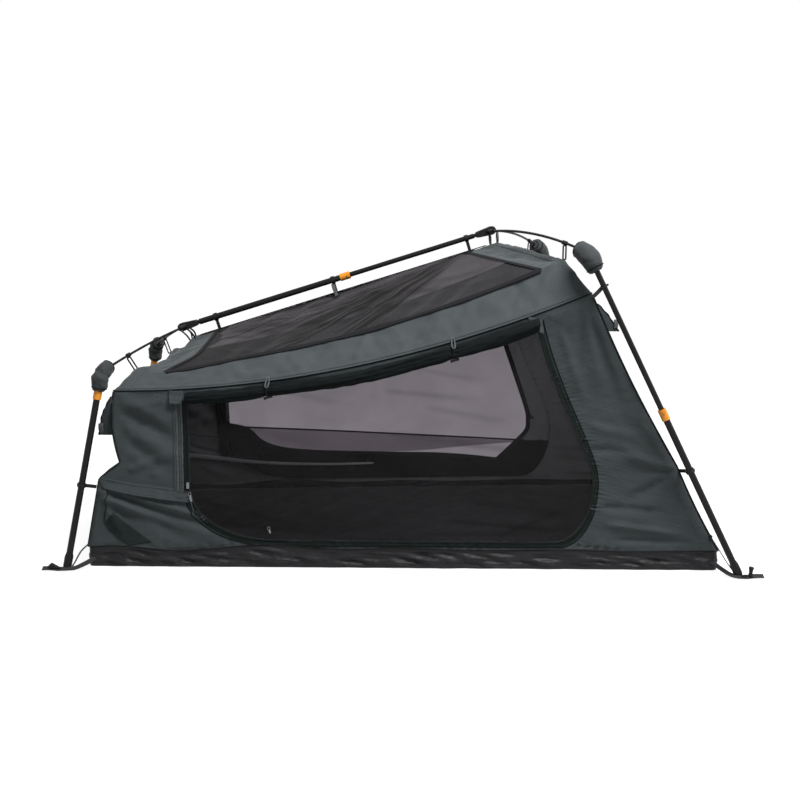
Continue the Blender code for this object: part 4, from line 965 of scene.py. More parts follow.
def roofMesh():
    a = np.linspace(0.094, 0.906, 300)
    half = np.linspace(1 / 3 - 0.012, 1, 78)
    near = roofPoint(a[:, None], half[None, :])
    grid = np.concatenate([near, near[:, :-1][:, ::-1] * [1, -1, 1]], 1)
    rows, columns = grid.shape[:2]
    flat = grid.reshape(-1, 3)
    s = np.tile(np.linspace(0, 1, columns), rows)
    t = np.repeat(np.linspace(0, 1, rows), columns)
    inside = np.sin(np.pi * t) ** 0.6 * np.sin(np.pi * np.abs(2 * s - 1)) ** 0.7
    plane = np.stack([flat[:, 0], -np.abs(flat[:, 1])], 1)
    tip = np.array([0.26, 0.02])
    toTip = plane - tip
    bearing = np.arctan2(-toTip[:, 1], -toTip[:, 0])
    far = np.linalg.norm(toTip, axis=1)
    rng = np.random.default_rng(51)
    rays = np.zeros(len(flat))
    for k in range(34):
        at = rng.uniform(-0.05, 0.75)
        start, reach = rng.uniform(0.0, 0.40), rng.uniform(0.35, 0.8)
        wide = rng.uniform(0.005, 0.017)
        bend = at + rng.uniform(-0.08, 0.08) * far
        wide = wide if k < 18 else 0.28 * wide + 0.0012
        ends = smooth((far - start) / 0.1), smooth((start + reach - far) / 0.15)
        rays += rng.uniform(0.4, 1.0) * np.exp(-((bearing - bend) * far / wide) ** 2) * ends[0] * ends[1]
    cross = creases(plane, [(*fold, 1.6 * fold[2]) for fold in roof["crossFolds"]], 0.1, 0.3)
    flat = flat.copy()
    rise = 0.0045 * np.clip(rays, 0, 1.3) + 0.003 * cross + 0.004 * waves(plane, 0.16, 52)
    flat[:, 2] += -0.010 * inside + rise * smooth(inside / 0.5) - 0.0008
    across = np.cumsum(np.linalg.norm(np.diff(grid, axis=1, prepend=grid[:, :1]), axis=2), 1).ravel()
    made = makeMesh("roofMesh", flat, gridFaces(rows, columns), meshRoof, np.stack([flat[:, 0], across], 1))
    # painted shade along the ray and cross creases, with soft random patches, for the fold attribute
    addCreaseShade(made, 0.95 * np.clip(rays, 0, 1) + 0.6 * np.clip(cross, 0, 1) + 0.25 * smooth(waves(plane, 0.20, 53)))
    faceTo(made, 2, 1)
    return made


roofNet = roofMesh()
tentPiece(roofNet)
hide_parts("roof_mesh")
flatArea(roofNet)
print("roof mesh made")


# end walls
def endWall(name, node, u, seed):  # u: 0 at the foot, 1 at the head; gives its surface
    rows, columns = 110, 120
    v = np.linspace(0, 1, rows)
    edge = wallPoint(np.full(rows, u), v)
    s = np.linspace(0, 1, columns)
    grid = edge[:, None] * np.stack([np.ones(columns), 1 - 2 * s, np.ones(columns)], 1)[None]
    flat = grid.reshape(-1, 3)
    outward = -1.0 if u < 0.5 else 1.0
    side = np.tile(np.sin(np.pi * s), rows)
    high = np.repeat(v, columns)
    plane = flat[:, 1:]
    folds = 0.0030 * waves(plane, 0.20, seed) + 0.0014 * waves(plane, 0.07, seed + 1)
    folds = folds + 0.0005 * waves(plane, 0.025, seed + 2)
    for hand in (1, -1):
        mirror = plane * [hand, 1]
        half, clipZ, topZ = (0.42, 0.29, 0.58) if u < 0.5 else (0.49, 0.36, 0.9)
        fromClip = ((-0.05, clipZ + 0.16), (-0.05, clipZ + 0.02), (-0.1, clipZ - 0.12), (-0.2, 0.10))
        folds = folds + fan(mirror, (-half, clipZ), fromClip, 0.01, 0.03, 0.005, seed + 3)
        fromTop = ((-0.1, 0.45), (-0.2, 0.35), (-0.05, 0.6))
        folds = folds + fan(mirror, (-half + 0.05, topZ), fromTop, 0.01, 0.03, 0.004, seed + 4)
    inside = smooth(np.minimum(side / 0.25, np.minimum(high, 1 - high) / 0.06))
    points = flat.copy()
    points[:, 0] += outward * (folds * inside - 0.010 * side * np.sin(np.pi * high) * (1 if u > 0.5 else 0.6))
    made = makeMesh(name, points, gridFaces(rows, columns), canvas, flat[:, 1:])
    faceTo(made, 0, outward)
    tree = surfaceOf(made)
    area = flatArea(made)
    thicken(made, 0.0011, -1.0)
    tentPiece(made)
    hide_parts(node)
    return tree


footTree = endWall("endWallFoot", "end_wall_foot", 0.0, 61)
headTree = endWall("endWallHead", "end_wall_head", 1.0, 71)
print("end walls made")


# the groundsheet tub
tub = dict(corner=0.022, rows=18, perimeter=1100, bulge=0.004)


def tubLoop(count):  # the rim seen from above, anticlockwise from the near foot corner
    r = tub["corner"]
    corners = [np.array([tent["tubFootX"], -tent["tubFootHalf"]]), np.array([tent["tubHeadX"], -tent["tubHeadHalf"]]),
               np.array([tent["tubHeadX"], tent["tubHeadHalf"]]), np.array([tent["tubFootX"], tent["tubFootHalf"]])]
    line = []
    for k in range(4):
        before, at, after = corners[k - 1], corners[k], corners[(k + 1) % 4]
        start, end = at + unit(before - at) * r, at + unit(after - at) * r
        t = np.linspace(0, 1, 9)[:, None]
        line.append(start * (1 - t) ** 2 + 2 * at * t * (1 - t) + end * t * t)
    line = np.vstack(line + [line[0][:1]])
    return evenly(line, count + 1)[:-1]


def tubSheet():
    loop = tubLoop(tub["perimeter"])
    count = len(loop)
    out = unit(np.cross(np.c_[unit(np.roll(loop, -1, 0) - np.roll(loop, 1, 0)), np.zeros(count)], [0, 0, 1.0]))
    top = softRun(loop[:, 0], tent["rimX"], tent["rimZ"])
    run = np.arange(count) * np.linalg.norm(loop[1] - loop[0])
    levels = np.linspace(0, 1, tub["rows"])
    corners = np.array([(tent[end + "X"], hand * tent[end + "Half"]) for end in ("tubFoot", "tubHead")
                        for hand in (1, -1)])
    toCorner = np.linalg.norm(loop[:, None, :2] - corners[None], axis=2).min(1)
    calm = 0.15 + 0.85 * smooth(toCorner / 0.075)  # no deep folds at the corners
    rows = []
    for h in levels:
        place = np.c_[loop, mix(0.0018, top, h)]
        plane = np.stack([run, np.full(count, h * 0.07)], 1)
        slant = np.stack([plane[:, 0] * 0.42 + plane[:, 1] * 0.9, plane[:, 1] * 2.0 - plane[:, 0] * 0.10], 1)
        fold = 0.0052 * waves(plane * [1, 0.8], 0.12, 81) + 0.0062 * waves(slant, 0.047, 82)
        fold = (fold + 0.0012 * waves(plane * [0.6, 1.5], 0.02, 83)) * calm
        bow = tub["bulge"] * math.sin(math.pi * min(h * 1.3, 1.0))
        shape = math.sin(math.pi * min(1.0, 0.12 + 0.88 * h)) ** 0.6
        middle = 0.3 + 0.7 * math.sin(math.pi * h) ** 0.5
        rows.append(place + out * ((fold - 0.0015) * shape * middle + bow)[:, None])
    for shrink in np.linspace(1.0, 0.0, 24)[1:]:
        inner = rows[0] * [1, 1, 0] + [0, 0, 0.0014]
        inner[:, 1] *= shrink
        inner[:, 0] = mix(np.clip(inner[:, 0], tent["tubFootX"] + 0.43 * (1 - shrink),
                                  tent["tubHeadX"] - 0.49 * (1 - shrink)), inner[:, 0], shrink)
        rows.insert(0, inner)
    points = np.vstack(rows)
    made = makeMesh("tubSheet", points, gridFaces(len(rows), count, closed=True), tubCloth,
                    np.c_[np.tile(run, len(rows)), np.repeat(np.arange(len(rows)) * 0.004, count)])
    merged(made, 0.0001)
    area = flatArea(made)
    return thicken(made, 0.0011, -1.0), area


tubPiece, tubArea = tubSheet()
tentPiece(tubPiece, flattens=False)
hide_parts("tub_floor")
print("groundsheet made", round(tubArea, 3))


# rolled canvas doors
roll = dict(radius=0.0215, headRadius=0.0285, gap=0.002, ties=(-0.459, 0.156), rings=320, sides=64)


def wallFace(x, drop):  # a point of the near wall, a set drop below the eave
    eave = eaveLine(np.asarray(x, float))
    u, v = wallPlace(x, eave[..., 2] - drop)
    return wallPoint(u, v)


def rollRadius(x):
    return mix(roll["radius"], roll["headRadius"], share(x, door["footX"], door["headX"]))


def rolledDoor():
    x = np.linspace(door["footX"] - 0.006, door["headX"] + 0.002, roll["rings"])
    size = rollRadius(x)
    middle = wallFace(x, size + roll["gap"] + 0.002 * np.sin(np.linspace(0, 9.4, roll["rings"])) ** 2)
    middle[:, 1] -= 0.0028 + size
    middle[:, 2] -= 0.0035 * np.abs(np.sin(np.pi * share(x, roll["ties"][0], roll["ties"][1])))
    angle = np.linspace(0, 2 * np.pi, roll["sides"], endpoint=False)
    plane = np.stack(np.broadcast_arrays(x[:, None], 0.02 * angle[None, :]), -1)
    pinch = sum(np.exp(-((x - tie) / 0.022) ** 2) for tie in roll["ties"])
    ends = 1 - 0.22 * np.exp(-(x - x[0]) / 0.02) - 0.22 * np.exp(-(x[-1] - x) / 0.02)
    turn, place = angle[None, :], x[:, None]
    flow = np.cos(turn * 3 + 9 * place) * 0.0012 + np.cos(turn * 5 - 6 * place + 1.3) * 0.0009
    flow = flow + 0.0016 * waves(plane * [0.35, 6.0], 0.11, 91) + 0.0010 * waves(plane * [1.0, 3.0], 0.06, 92)
    gather = 0.0016 * np.cos(turn * 9 + 3 * np.sin(place * 60)) * pinch[:, None]
    swell = 0.96 + 0.03 * waves(place, 0.18, 93)[:, None]
    spread = size[:, None] * (1 - 0.17 * pinch[:, None]) * ends[:, None] * swell + flow + gather
    edge = 0.0035 * np.exp(-((turn - (4.0 + 0.25 * np.sin(7 * place))) / 0.16) ** 2)
    spread = spread + edge - 0.0015
    y = middle[:, 1:2] + np.minimum(spread * np.cos(angle)[None, :], size[:, None] + 0.0006)
    z = middle[:, 2:3] + spread * np.sin(angle)[None, :]
    points = np.stack([np.broadcast_to(x[:, None], y.shape), y, z], -1)
    total = len(x) * len(angle)
    flat = points.reshape(-1, 3)
    faces = [tuple(f) for f in gridFaces(len(x), len(angle), closed=True)]
    extra = []
    for end, direction in ((0, -1), (len(x) - 1, 1)):  # the spiral ends, pressed in
        ring = points[end]
        last = end * len(angle)
        for step, scale in enumerate((0.86, 0.80, 0.6, 0.54, 0.34, 0.28, 0.1)):
            inner = ring.mean(0) + (ring - ring.mean(0)) * scale
            inner[:, 0] += direction * (-0.004 if step % 2 else 0.001)
            start = total + len(extra)
            extra.extend(inner)
            for k in range(len(angle)):
                quad = (last + k, last + (k + 1) % len(angle), start + (k + 1) % len(angle), start + k)
                faces.append(quad if direction > 0 else quad[::-1])
            last = start
        face = tuple(last + k for k in range(len(angle)))
        faces.append(face if direction > 0 else face[::-1])
    allPoints = np.vstack([flat, extra])
    x, y, z = allPoints.T
    uv = np.stack([x, np.arctan2(z - 0.7, y) * 0.02 + z], 1)
    made = makeMesh("doorRollNear", allPoints, faces, canvasDark, uv)
    work = bmesh.new()
    work.from_mesh(made.data)
    bmesh.ops.recalc_face_normals(work, faces=work.faces)
    work.to_mesh(made.data)
    work.free()
    return made


rollNear = rolledDoor()
rollFar = otherSide(rollNear, "doorRollFar")
for piece, node in ((rollNear, "door_roll_near"), (rollFar, "door_roll_far")):
    tentPiece(piece)
    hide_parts(node)
print("rolled doors made")


# awnings over the end vents
def awning(name, node, base, outward, reach, fall, half, seed):
    rows, columns = 40, 110
    t = np.linspace(0, 1, rows)[:, None]
    s = np.linspace(-1, 1, columns)[None, :]
    x = base[0] + outward * (reach * t + 0.006 * np.sin(np.pi * t) * np.cos(s * 1.2))
    y = s * half * (1 - 0.06 * t)
    z = base[2] - fall * t ** 1.4 + 0.0 * s
    flat = np.stack(np.broadcast_arrays(x, y, z), -1).reshape(-1, 3)
    plane = flat[:, 1:]
    loose = np.repeat(smooth(np.linspace(0, 1, rows) / 0.2), columns)
    folds = (0.0035 * waves(plane * [1, 0.4], 0.11, seed) + 0.0016 * waves(plane, 0.04, seed + 1)) * loose
    flat[:, 0] += outward * folds
    flat[:, 2] += 0.5 * folds
    made = makeMesh(name, flat, gridFaces(rows, columns), canvas, np.stack([plane[:, 0], plane[:, 1]], 1))
    faceTo(made, 0, outward)
    area = flatArea(made)
    rim = flat.reshape(rows, columns, 3)
    edge = np.vstack([rim[1:, 0], rim[-1, 1:-1], rim[1:, -1][::-1]])
    bind = tubeAlong(name + "Binding", evenly(edge, 130), 0.0022, tape, sides=8)
    for hand in (1, -1):  # the cheeks that close its two sides
        side = rim[:, 0] * [1, hand, 1]
        steps = np.linspace(0, 1, 12)[:, None, None]
        root = np.stack([np.full(rows, base[0] - outward * 0.004), side[:, 1] * 1.012, side[:, 2]], 1)
        sheet = mix(root[None], side[None], steps) + np.array([0, -hand, 0]) * (0.004 * np.sin(np.pi * steps))
        cheek = makeMesh(name + ("CheekNear" if hand > 0 else "CheekFar"), sheet.reshape(-1, 3), gridFaces(12, rows),
                         canvas, sheet.reshape(-1, 3)[:, [0, 2]])
        faceTo(cheek, 1, -hand)
        tentPiece(thicken(cheek, 0.0010, -1.0))
    thicken(made, 0.0011, 1.0)
    tentPiece(made)
    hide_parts(node)
    tentPiece(bind)
    return made


low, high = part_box("hood_head")
awning("awningHead", "hood_head", (low.x + 0.001, 0, high.z), 1, 0.100, 0.112, 0.372, 101)
low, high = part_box("hood_foot")
reach, fall = high.x - low.x - 0.004, high.z - low.z
awning("awningFoot", "hood_foot", (high.x - 0.001, 0, high.z), -1, reach, fall, 0.396, 111)
print("awnings made")


# mattress: a foam slab in its cover, filled out by a short cloth simulation
def clothPuff(piece, frames, cap, pressure=4.0, pinned=None, stiff=15.0):
    before = vertexData(piece)
    cloth = piece.modifiers.new("puff", "CLOTH")
    cloth.settings.use_pressure = True
    cloth.settings.uniform_pressure_force = pressure
    cloth.settings.tension_stiffness = cloth.settings.compression_stiffness = stiff
    cloth.settings.effector_weights.gravity = 0.0
    cloth.collision_settings.use_collision = False
    cloth.point_cache.frame_start, cloth.point_cache.frame_end = 1, frames
    for step in range(1, frames + 1):
        bpy.context.scene.frame_set(step)
    solid = evaluated(piece)
    after = np.zeros(len(solid.vertices) * 3)
    solid.vertices.foreach_get("co", after)
    piece.modifiers.clear()
    bpy.context.scene.frame_set(1)
    shift = after.reshape(-1, 3) - before
    far = np.linalg.norm(shift, axis=1, keepdims=True)
    shift = shift * np.minimum(1.0, cap / np.maximum(far, 1e-9))
    if pinned is not None:
        shift = shift * pinned(before)[:, None]
    moveVertices(piece, before + shift)


def remeshed(piece, size):
    change = piece.modifiers.new("even", "REMESH")
    change.mode, change.voxel_size, change.use_smooth_shade = "VOXEL", size, True
    return applied(piece)


def subdivided(piece):
    change = piece.modifiers.new("smooth", "SUBSURF")
    change.levels = change.render_levels = 1
    return applied(piece)


mattress = dict(inset=0.024, low=0.0040, high=0.0560, edge=0.020, voxel=0.012, cap=0.006)


def mattressPiece():
    work = bmesh.new()
    bmesh.ops.create_cube(work, size=1.0)
    for vertex in work.verts:
        head = vertex.co.x > 0
        x = (tent["tubHeadX"] if head else tent["tubFootX"]) + mattress["inset"] * (-1 if head else 1)
        y = (tent["tubHeadHalf"] if head else tent["tubFootHalf"]) - mattress["inset"]
        z = mattress["high"] if vertex.co.z > 0 else mattress["low"]
        vertex.co = Vector((x, math.copysign(y, vertex.co.y), z))
    bmesh.ops.bevel(work, geom=list(work.edges), offset=mattress["edge"], segments=4, profile=0.6, affect="EDGES")
    mesh = bpy.data.meshes.new("mattressPiece")
    work.to_mesh(mesh)
    work.free()
    mesh.materials.append(mattressCloth)
    made = linked("mattressPiece", mesh)
    remeshed(made, mattress["voxel"])
    clothPuff(made, 20, mattress["cap"])
    points = vertexData(made)
    lift = smooth((points[:, 2] - 0.03) / 0.02)
    points[:, 2] += lift * (0.0022 * waves(points[:, :2], 0.24, 121) + 0.0012 * waves(points[:, :2], 0.09, 122))
    points[:, 2] = np.clip(points[:, 2], 0.0036, 0.0640)
    moveVertices(made, points)
    return subdivided(made)


mattressMade = mattressPiece()
tentPiece(mattressMade, flattens=False)
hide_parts("mattress")
print("mattress made")


# stitches and zip teeth: small shapes laid along lines by Geometry Nodes
def rowTree(name, shape):
    tree = bpy.data.node_groups.new(name, "GeometryNodeTree")
    tree.interface.new_socket("Geometry", in_out="INPUT", socket_type="NodeSocketGeometry")
    for label, value in (("Long", 0.003), ("Wide", 0.0008), ("High", 0.0006)):
        tree.interface.new_socket(label, in_out="INPUT", socket_type="NodeSocketFloat").default_value = value
    tree.interface.new_socket("Finish", in_out="INPUT", socket_type="NodeSocketMaterial")
    tree.interface.new_socket("Geometry", in_out="OUTPUT", socket_type="NodeSocketGeometry")
    made = tree.nodes.new
    start, end = made("NodeGroupInput"), made("NodeGroupOutput")
    unitShape = made("GeometryNodeMeshIcoSphere" if shape == "bead" else "GeometryNodeMeshCube")
    if shape == "bead":
        unitShape.inputs["Radius"].default_value = 0.5
        unitShape.inputs["Subdivisions"].default_value = 1
    size, turn = made("ShaderNodeCombineXYZ"), made("FunctionNodeAxesToRotation")
    place = made("GeometryNodeInstanceOnPoints")
    turn.primary_axis, turn.secondary_axis = "X", "Z"
    for label, socket in (("Long", "X"), ("Wide", "Y"), ("High", "Z")):
        tree.links.new(start.outputs[label], size.inputs[socket])
    for label, socket in (("along", 0), ("facing", 1)):
        read = made("GeometryNodeInputNamedAttribute")
        read.data_type = "FLOAT_VECTOR"
        read.inputs["Name"].default_value = label
        tree.links.new(read.outputs["Attribute"], turn.inputs[socket])
    whole, finish = made("GeometryNodeRealizeInstances"), made("GeometryNodeSetMaterial")
    tree.links.new(start.outputs["Geometry"], place.inputs["Points"])
    tree.links.new(unitShape.outputs["Mesh"], place.inputs["Instance"])
    tree.links.new(turn.outputs[0], place.inputs["Rotation"])
    tree.links.new(size.outputs[0], place.inputs["Scale"])
    tree.links.new(place.outputs[0], whole.inputs[0])
    tree.links.new(whole.outputs[0], finish.inputs[0])
    tree.links.new(start.outputs["Finish"], finish.inputs["Material"])
    tree.links.new(finish.outputs[0], end.inputs[0])
    return tree


beadRow, blockRow = rowTree("beadRow", "bead"), rowTree("blockRow", "block")


def rowOf(name, runs, size, spacing, material, tree=beadRow):  # runs: (points, facing) pairs
    places, alongs, facings = [], [], []
    for line, facing in runs:
        line = np.asarray(line, float)
        facing = np.broadcast_to(np.asarray(facing, float), line.shape)
        run = distances(line)
        at = np.arange(spacing / 2, run[-1], spacing)
        spot = np.stack([np.interp(at, run, line[:, k]) for k in range(3)], 1)
        slope = np.gradient(line, axis=0)
        places.append(spot)
        alongs.append(unit(np.stack([np.interp(at, run, slope[:, k]) for k in range(3)], 1)))
        facings.append(unit(np.stack([np.interp(at, run, facing[:, k]) for k in range(3)], 1)))
    places = np.vstack(places)
    mesh = bpy.data.meshes.new(name)
    mesh.from_pydata([tuple(map(float, p)) for p in places], [], [])
    for label, values in (("along", np.vstack(alongs)), ("facing", np.vstack(facings))):
        mesh.attributes.new(label, "FLOAT_VECTOR", "POINT").data.foreach_set("vector", values.ravel())
    made = linked(name, mesh)
    change = made.modifiers.new("row", "NODES")
    change.node_group = tree
    values = dict(zip(("Long", "Wide", "High"), size), Finish=material)
    for item in tree.interface.items_tree:
        if item.item_type == "SOCKET" and item.in_out == "INPUT" and item.name in values:
            change[item.identifier] = values[item.name]
    bpy.context.view_layer.update()
    solid = evaluated(made)
    made.modifiers.clear()
    made.data = solid
    if not solid.materials:
        solid.materials.append(material)
    return made


stitchRuns = []


def stitched(line, facing, offset=(0.0,), lift=0.0004):  # keeps rows of stitches to lay at the end, mirrored too
    line, facing = np.asarray(line, float), np.asarray(facing, float)
    facing = np.broadcast_to(facing, line.shape)
    side = unit(np.cross(facing, unit(np.gradient(line, axis=0))))
    for shift in offset:
        stitchRuns.append((line + side * shift + facing * lift, facing))


thread = clothMaterial("thread", (0.030, 0.038, 0.038), (0.060, 0.072, 0.072), period=0.0006, weave=0.3, crumple=0.0,
                       uvMade=False)
zipTape = clothMaterial("zipTape", (0.006, 0.011, 0.009), (0.014, 0.022, 0.019), roughness=0.7, period=0.0012,
                        weave=0.6, crumple=0.2, sheen=0.03, gloss=0.05)
zipCoil = hardMaterial("zipCoil", (0.006, 0.008, 0.008), (0.016, 0.018, 0.018), 0.4, 0.0, 900.0, 0.2)


def wallLine(spots):  # points on the near wall's outer face from (x, z) spots
    spots = np.asarray(spots, float)
    u, v = wallPlace(spots[:, 0], spots[:, 1])
    return laidOn(thinWall, wallPoint(u, v), 0.0, (0, -1, 0))


def farCopy(piece):
    return otherSide(piece, piece.name.replace("Near", "Far"))


def mirroredPair(piece):  # rides the near piece and its far copy on the tent
    return [tentPiece(one) for one in (piece, farCopy(piece))]


# door surround: dark zip band with its coil, lighter tape at the foot side and the strip along the bottom
def openRun(grow, start=0.0, end=1.0, count=520):  # the U of the opening, from the foot top round to the head top
    foot, bottom, head, top = doorSides(grow)
    line = evenly(np.vstack([foot, bottom[1:], head[1:]]), 2000)
    return evenly(line[int(start * 1999):int(end * 1999) + 1], count)


for name, grow, width, material, lift, thick in (
        ("zipBandNear", 0.0075, 0.021, zipTape, 0.0002, 0.0010),
        ("zipCoverNear", 0.0020, 0.0085, tape, 0.0012, 0.0009),
        ("zipHemNear", 0.0195, 0.0040, canvasDark, 0.0002, 0.0014)):
    line, ways = wallLine(openRun(grow))
    band = ribbon(name, line, width, material, thinWall, lift, thick, across=5, outward=(0, -1, 0))
    mirroredPair(band)
line, ways = wallLine(openRun(0.0155))
stitched(line, ways, (-0.0012, 0.0028), 0.0014)
line, ways = wallLine(openRun(0.0022))
coil = rowOf("zipCoilNear", [(line + ways * 0.0026, ways)], (0.0016, 0.0050, 0.0014), 0.0026, zipCoil, blockRow)
mirroredPair(coil)

footTape = [(door["footX"] - 0.038, z) for z in np.linspace(0.588, 0.262, 120)]
line, ways = wallLine(footTape)
for index, shift in enumerate((-0.0125, -0.0035, 0.0055, 0.0145)):
    rib = ribbon("footTapeNear%d" % index, line + [shift, 0, 0], 0.0075, webbing if index % 2 else canvas, thinWall,
                 0.0002, 0.0010, crown=0.0008, outward=(0, -1, 0))
    mirroredPair(rib)
stitched(line, ways, (-0.017, 0.019), 0.0012)


# square tabs at the top corners of the opening
def squareTab(name, x, z, wide, high, lean):
    rows, columns = 16, 14
    s, t = np.meshgrid(np.linspace(-0.5, 0.5, columns), np.linspace(0, 1, rows))
    spots = np.stack([x + s * wide + lean * t, z + (0.5 - t) * high - lean * s * 1.2], -1).reshape(-1, 2)
    line, ways = wallLine(spots)
    rise = 0.0040 + 0.0125 * t.ravel() ** 1.5 + 0.0008 * waves(spots, 0.02, 131)
    points = line + ways * rise[:, None]
    made = makeMesh(name, points, gridFaces(rows, columns)[:, ::-1], canvas, spots)
    faceTo(made, 1, -1)
    rim = points.reshape(rows, columns, 3)
    path = np.vstack([rim[:, 0], rim[-1, 1:], rim[::-1, -1][1:]])
    stitchRuns.append((mix(path, points.mean(0), 0.14) + [0, -0.0006, 0], (0, -1, 0)))
    return thicken(made, 0.0020, -1.0)


for name, x, z, lean in (("tabFootNear", -0.771, 0.583, 0.0), ("tabHeadNear", 0.422, 0.833, 0.010)):
    mirroredPair(squareTab(name, x, z, 0.046, 0.044, lean))


# ties that hold the rolled doors: a loop of webbing round the roll and a toggle
def rollTie(name, x):
    size = float(rollRadius(x))
    middle = wallFace(np.array([x]), size + roll["gap"])[0]
    middle[1] -= 0.0028 + size
    seam = eaveLine(np.array(x))
    parts = []
    top, front = seam + [0, 0.010, 0.014], seam + [0, -0.008, 0.004]
    low = np.array([x, middle[1] - size * 0.80, middle[2] + size * 0.62])
    for side in (-1, 1):
        across = np.array([0.0046 * side, 0, 0])
        line = curveThrough([top + across * 0.6, front + across, mix(front, low, 0.5) + across * 1.15,
                             low + across * 0.9, low + [0, -0.001, -0.004]], 26)
        parts.append(tubeAlong(name + "Loop", line, 0.0023, webbing, sides=8))
    angle = np.linspace(math.radians(95), math.radians(330), 40)
    radius = size * 0.86 + 0.0012
    band = np.stack([np.full_like(angle, x), middle[1] + radius * np.cos(angle), middle[2] + radius * np.sin(angle)],
                    1)
    cord = tubeAlong(name + "Cord", band, 0.0016, tape, sides=8)
    under = np.array([x + 0.004, middle[1] - size * 0.45, middle[2] - size * 0.98])
    toggle = tubeAlong(name + "Toggle",
                       curveThrough([under + [-0.014, 0, -0.0045], under, under + [0.014, 0, 0.0045]], 18),
                       0.0034 + 0.0012 * np.abs(np.cos(np.linspace(0, np.pi, 18))), moulded, sides=12)
    return [joined(name, *parts), cord, toggle]


for index, x in enumerate(roll["ties"]):
    for part in rollTie("doorTie%dNear" % index, x):
        mirroredPair(part)
print("door trims made")


# far side: inner canvas panel round the window that shows through the near mesh
innerHem = clothMaterial("innerHem", (0.52, 0.545, 0.545), (0.64, 0.66, 0.66))


def farSpots(spots, inset):  # points just inside the far wall from (x, z) spots
    spots = np.asarray(spots, float)
    u, v = wallPlace(spots[:, 0], spots[:, 1])
    return wallPoint(u, v) * [1, -1, 1] + [0, -inset, 0]


farWindow = dict(  # its outline in four runs of (x, z), and the lines of the tapes on it
    foot=[(-0.765, 0.53), (-0.765, 0.345), (-0.735, 0.318)],
    low=[(-0.735, 0.318), (-0.66, 0.298), (-0.60, 0.243), (-0.52, 0.212), (-0.40, 0.197), (-0.20, 0.188),
         (0.0, 0.182),
         (0.15, 0.178), (0.30, 0.166), (0.414, 0.152)],
    head=[(0.414, 0.152), (0.500, 0.235), (0.546, 0.288), (0.552, 0.340), (0.544, 0.389), (0.500, 0.520),
          (0.453, 0.655), (0.432, 0.715)],
    top=[(0.432, 0.715), (0.1, 0.66), (-0.3, 0.58), (-0.765, 0.53)],
    strap=[(-0.735, 0.320), (-0.3, 0.297), (0.15, 0.270), (0.534, 0.246)],
    veil=[(-0.73, 0.316), (-0.66, 0.300), (-0.60, 0.249), (-0.52, 0.220), (-0.40, 0.207), (-0.2, 0.201), (0.0, 0.202),
          (0.109, 0.207), (0.3, 0.224), (0.534, 0.240)],
    hem=[(-0.945, 0.200), (-0.80, 0.184), (-0.60, 0.160), (-0.35, 0.150), (-0.12, 0.152)])


def farPanel():
    window = [np.array(farWindow[key]) for key in ("foot", "low", "head", "top")]
    inner, outer = [], []
    for run, edge, count in zip(window, doorSides(0.012), (60, 180, 120, 120)):
        inner.append(evenly(curveThrough(run, 200) if len(run) > 4 else run, count + 1)[:-1])
        outer.append(evenly(edge, count + 1)[:-1])
    inner, outer = np.vstack(inner), np.vstack(outer)
    steps = np.linspace(0, 1, 18)
    spots = mix(inner[None], outer[None], steps[:, None, None]).reshape(-1, 2)
    points = farSpots(spots, 0.0070)
    points[:, 1] += 0.003 * waves(spots, 0.12, 141) * np.repeat(np.sin(np.pi * steps), len(inner))
    # painted shade: most of the panel takes the near-black rolled-door canvas where the inside lies in shadow; the
    # lighter inside canvas at the head and roof canvas at the foot are painted light
    made = makeMesh("farPanel", points, gridFaces(18, len(inner), closed=True), canvasDark, spots)
    for extra in (innerCanvas, canvasRoof):
        made.data.materials.append(extra)
    centre = np.array([p.center for p in made.data.polygons])
    litOrShadedZone = np.where((centre[:, 0] > 0.44) & (centre[:, 2] > 0.245), 1,
                    np.where((centre[:, 0] < -0.80) & (centre[:, 2] > 0.30), 2, 0))
    made.data.polygons.foreach_set("material_index", litOrShadedZone.astype(np.int32))
    faceTo(made, 1, 1)
    area = flatArea(made)
    pieces = []
    border = evenly(np.vstack([window[0], curveThrough(window[1], 160)[1:], curveThrough(window[2], 120)[1:]]), 420)
    outward = unit(np.cross(np.c_[unit(np.gradient(border, axis=0)), np.zeros(420)], [0, 0, -1.0]))[:, :2]
    border = border + outward * 0.0085
    post = np.stack([np.linspace(-0.778, -0.752, 30), np.linspace(0.575, 0.165, 30)], 1)
    strap = curveThrough(farSpots(farWindow["strap"], 0.009), 120)
    for name, line, width, thick in (("farWindowTape", farSpots(border, 0.0098), 0.019, 0.0010),
                                     ("farWindowPost", farSpots(post, 0.0110), 0.030, 0.0010),
                                     ("farWindowStrap", strap, 0.007, 0.0008)):
        pieces.append(ribbon(name, line, width, tape, None, thick=thick, facing=(0, -1, 0)))
    hem = curveThrough(farSpots(farWindow["hem"], 0.0135), 90)
    pieces.append(ribbon("farInnerHem", hem, np.linspace(0.019, 0.006, 90), innerHem, None, thick=0.0015,
                         facing=(0, -1, 0.1), crown=0.002))
    high = evenly(curveThrough(farWindow["strap"], 120), 100)
    low = evenly(curveThrough(farWindow["veil"], 200), 100)
    sheet = mix(high[None], low[None], np.linspace(0, 1, 10)[:, None, None]).reshape(-1, 2)
    veil = makeMesh("farVeil", farSpots(sheet, 0.0062), gridFaces(10, 100), meshCloth, sheet)
    faceTo(veil, 1, 1)
    addCreaseShade(veil, np.zeros(len(sheet)))
    thicken(made, 0.0010, -1.0)
    for piece in [made, veil] + pieces:
        tentPiece(piece)


farPanel()
print("far panel made")


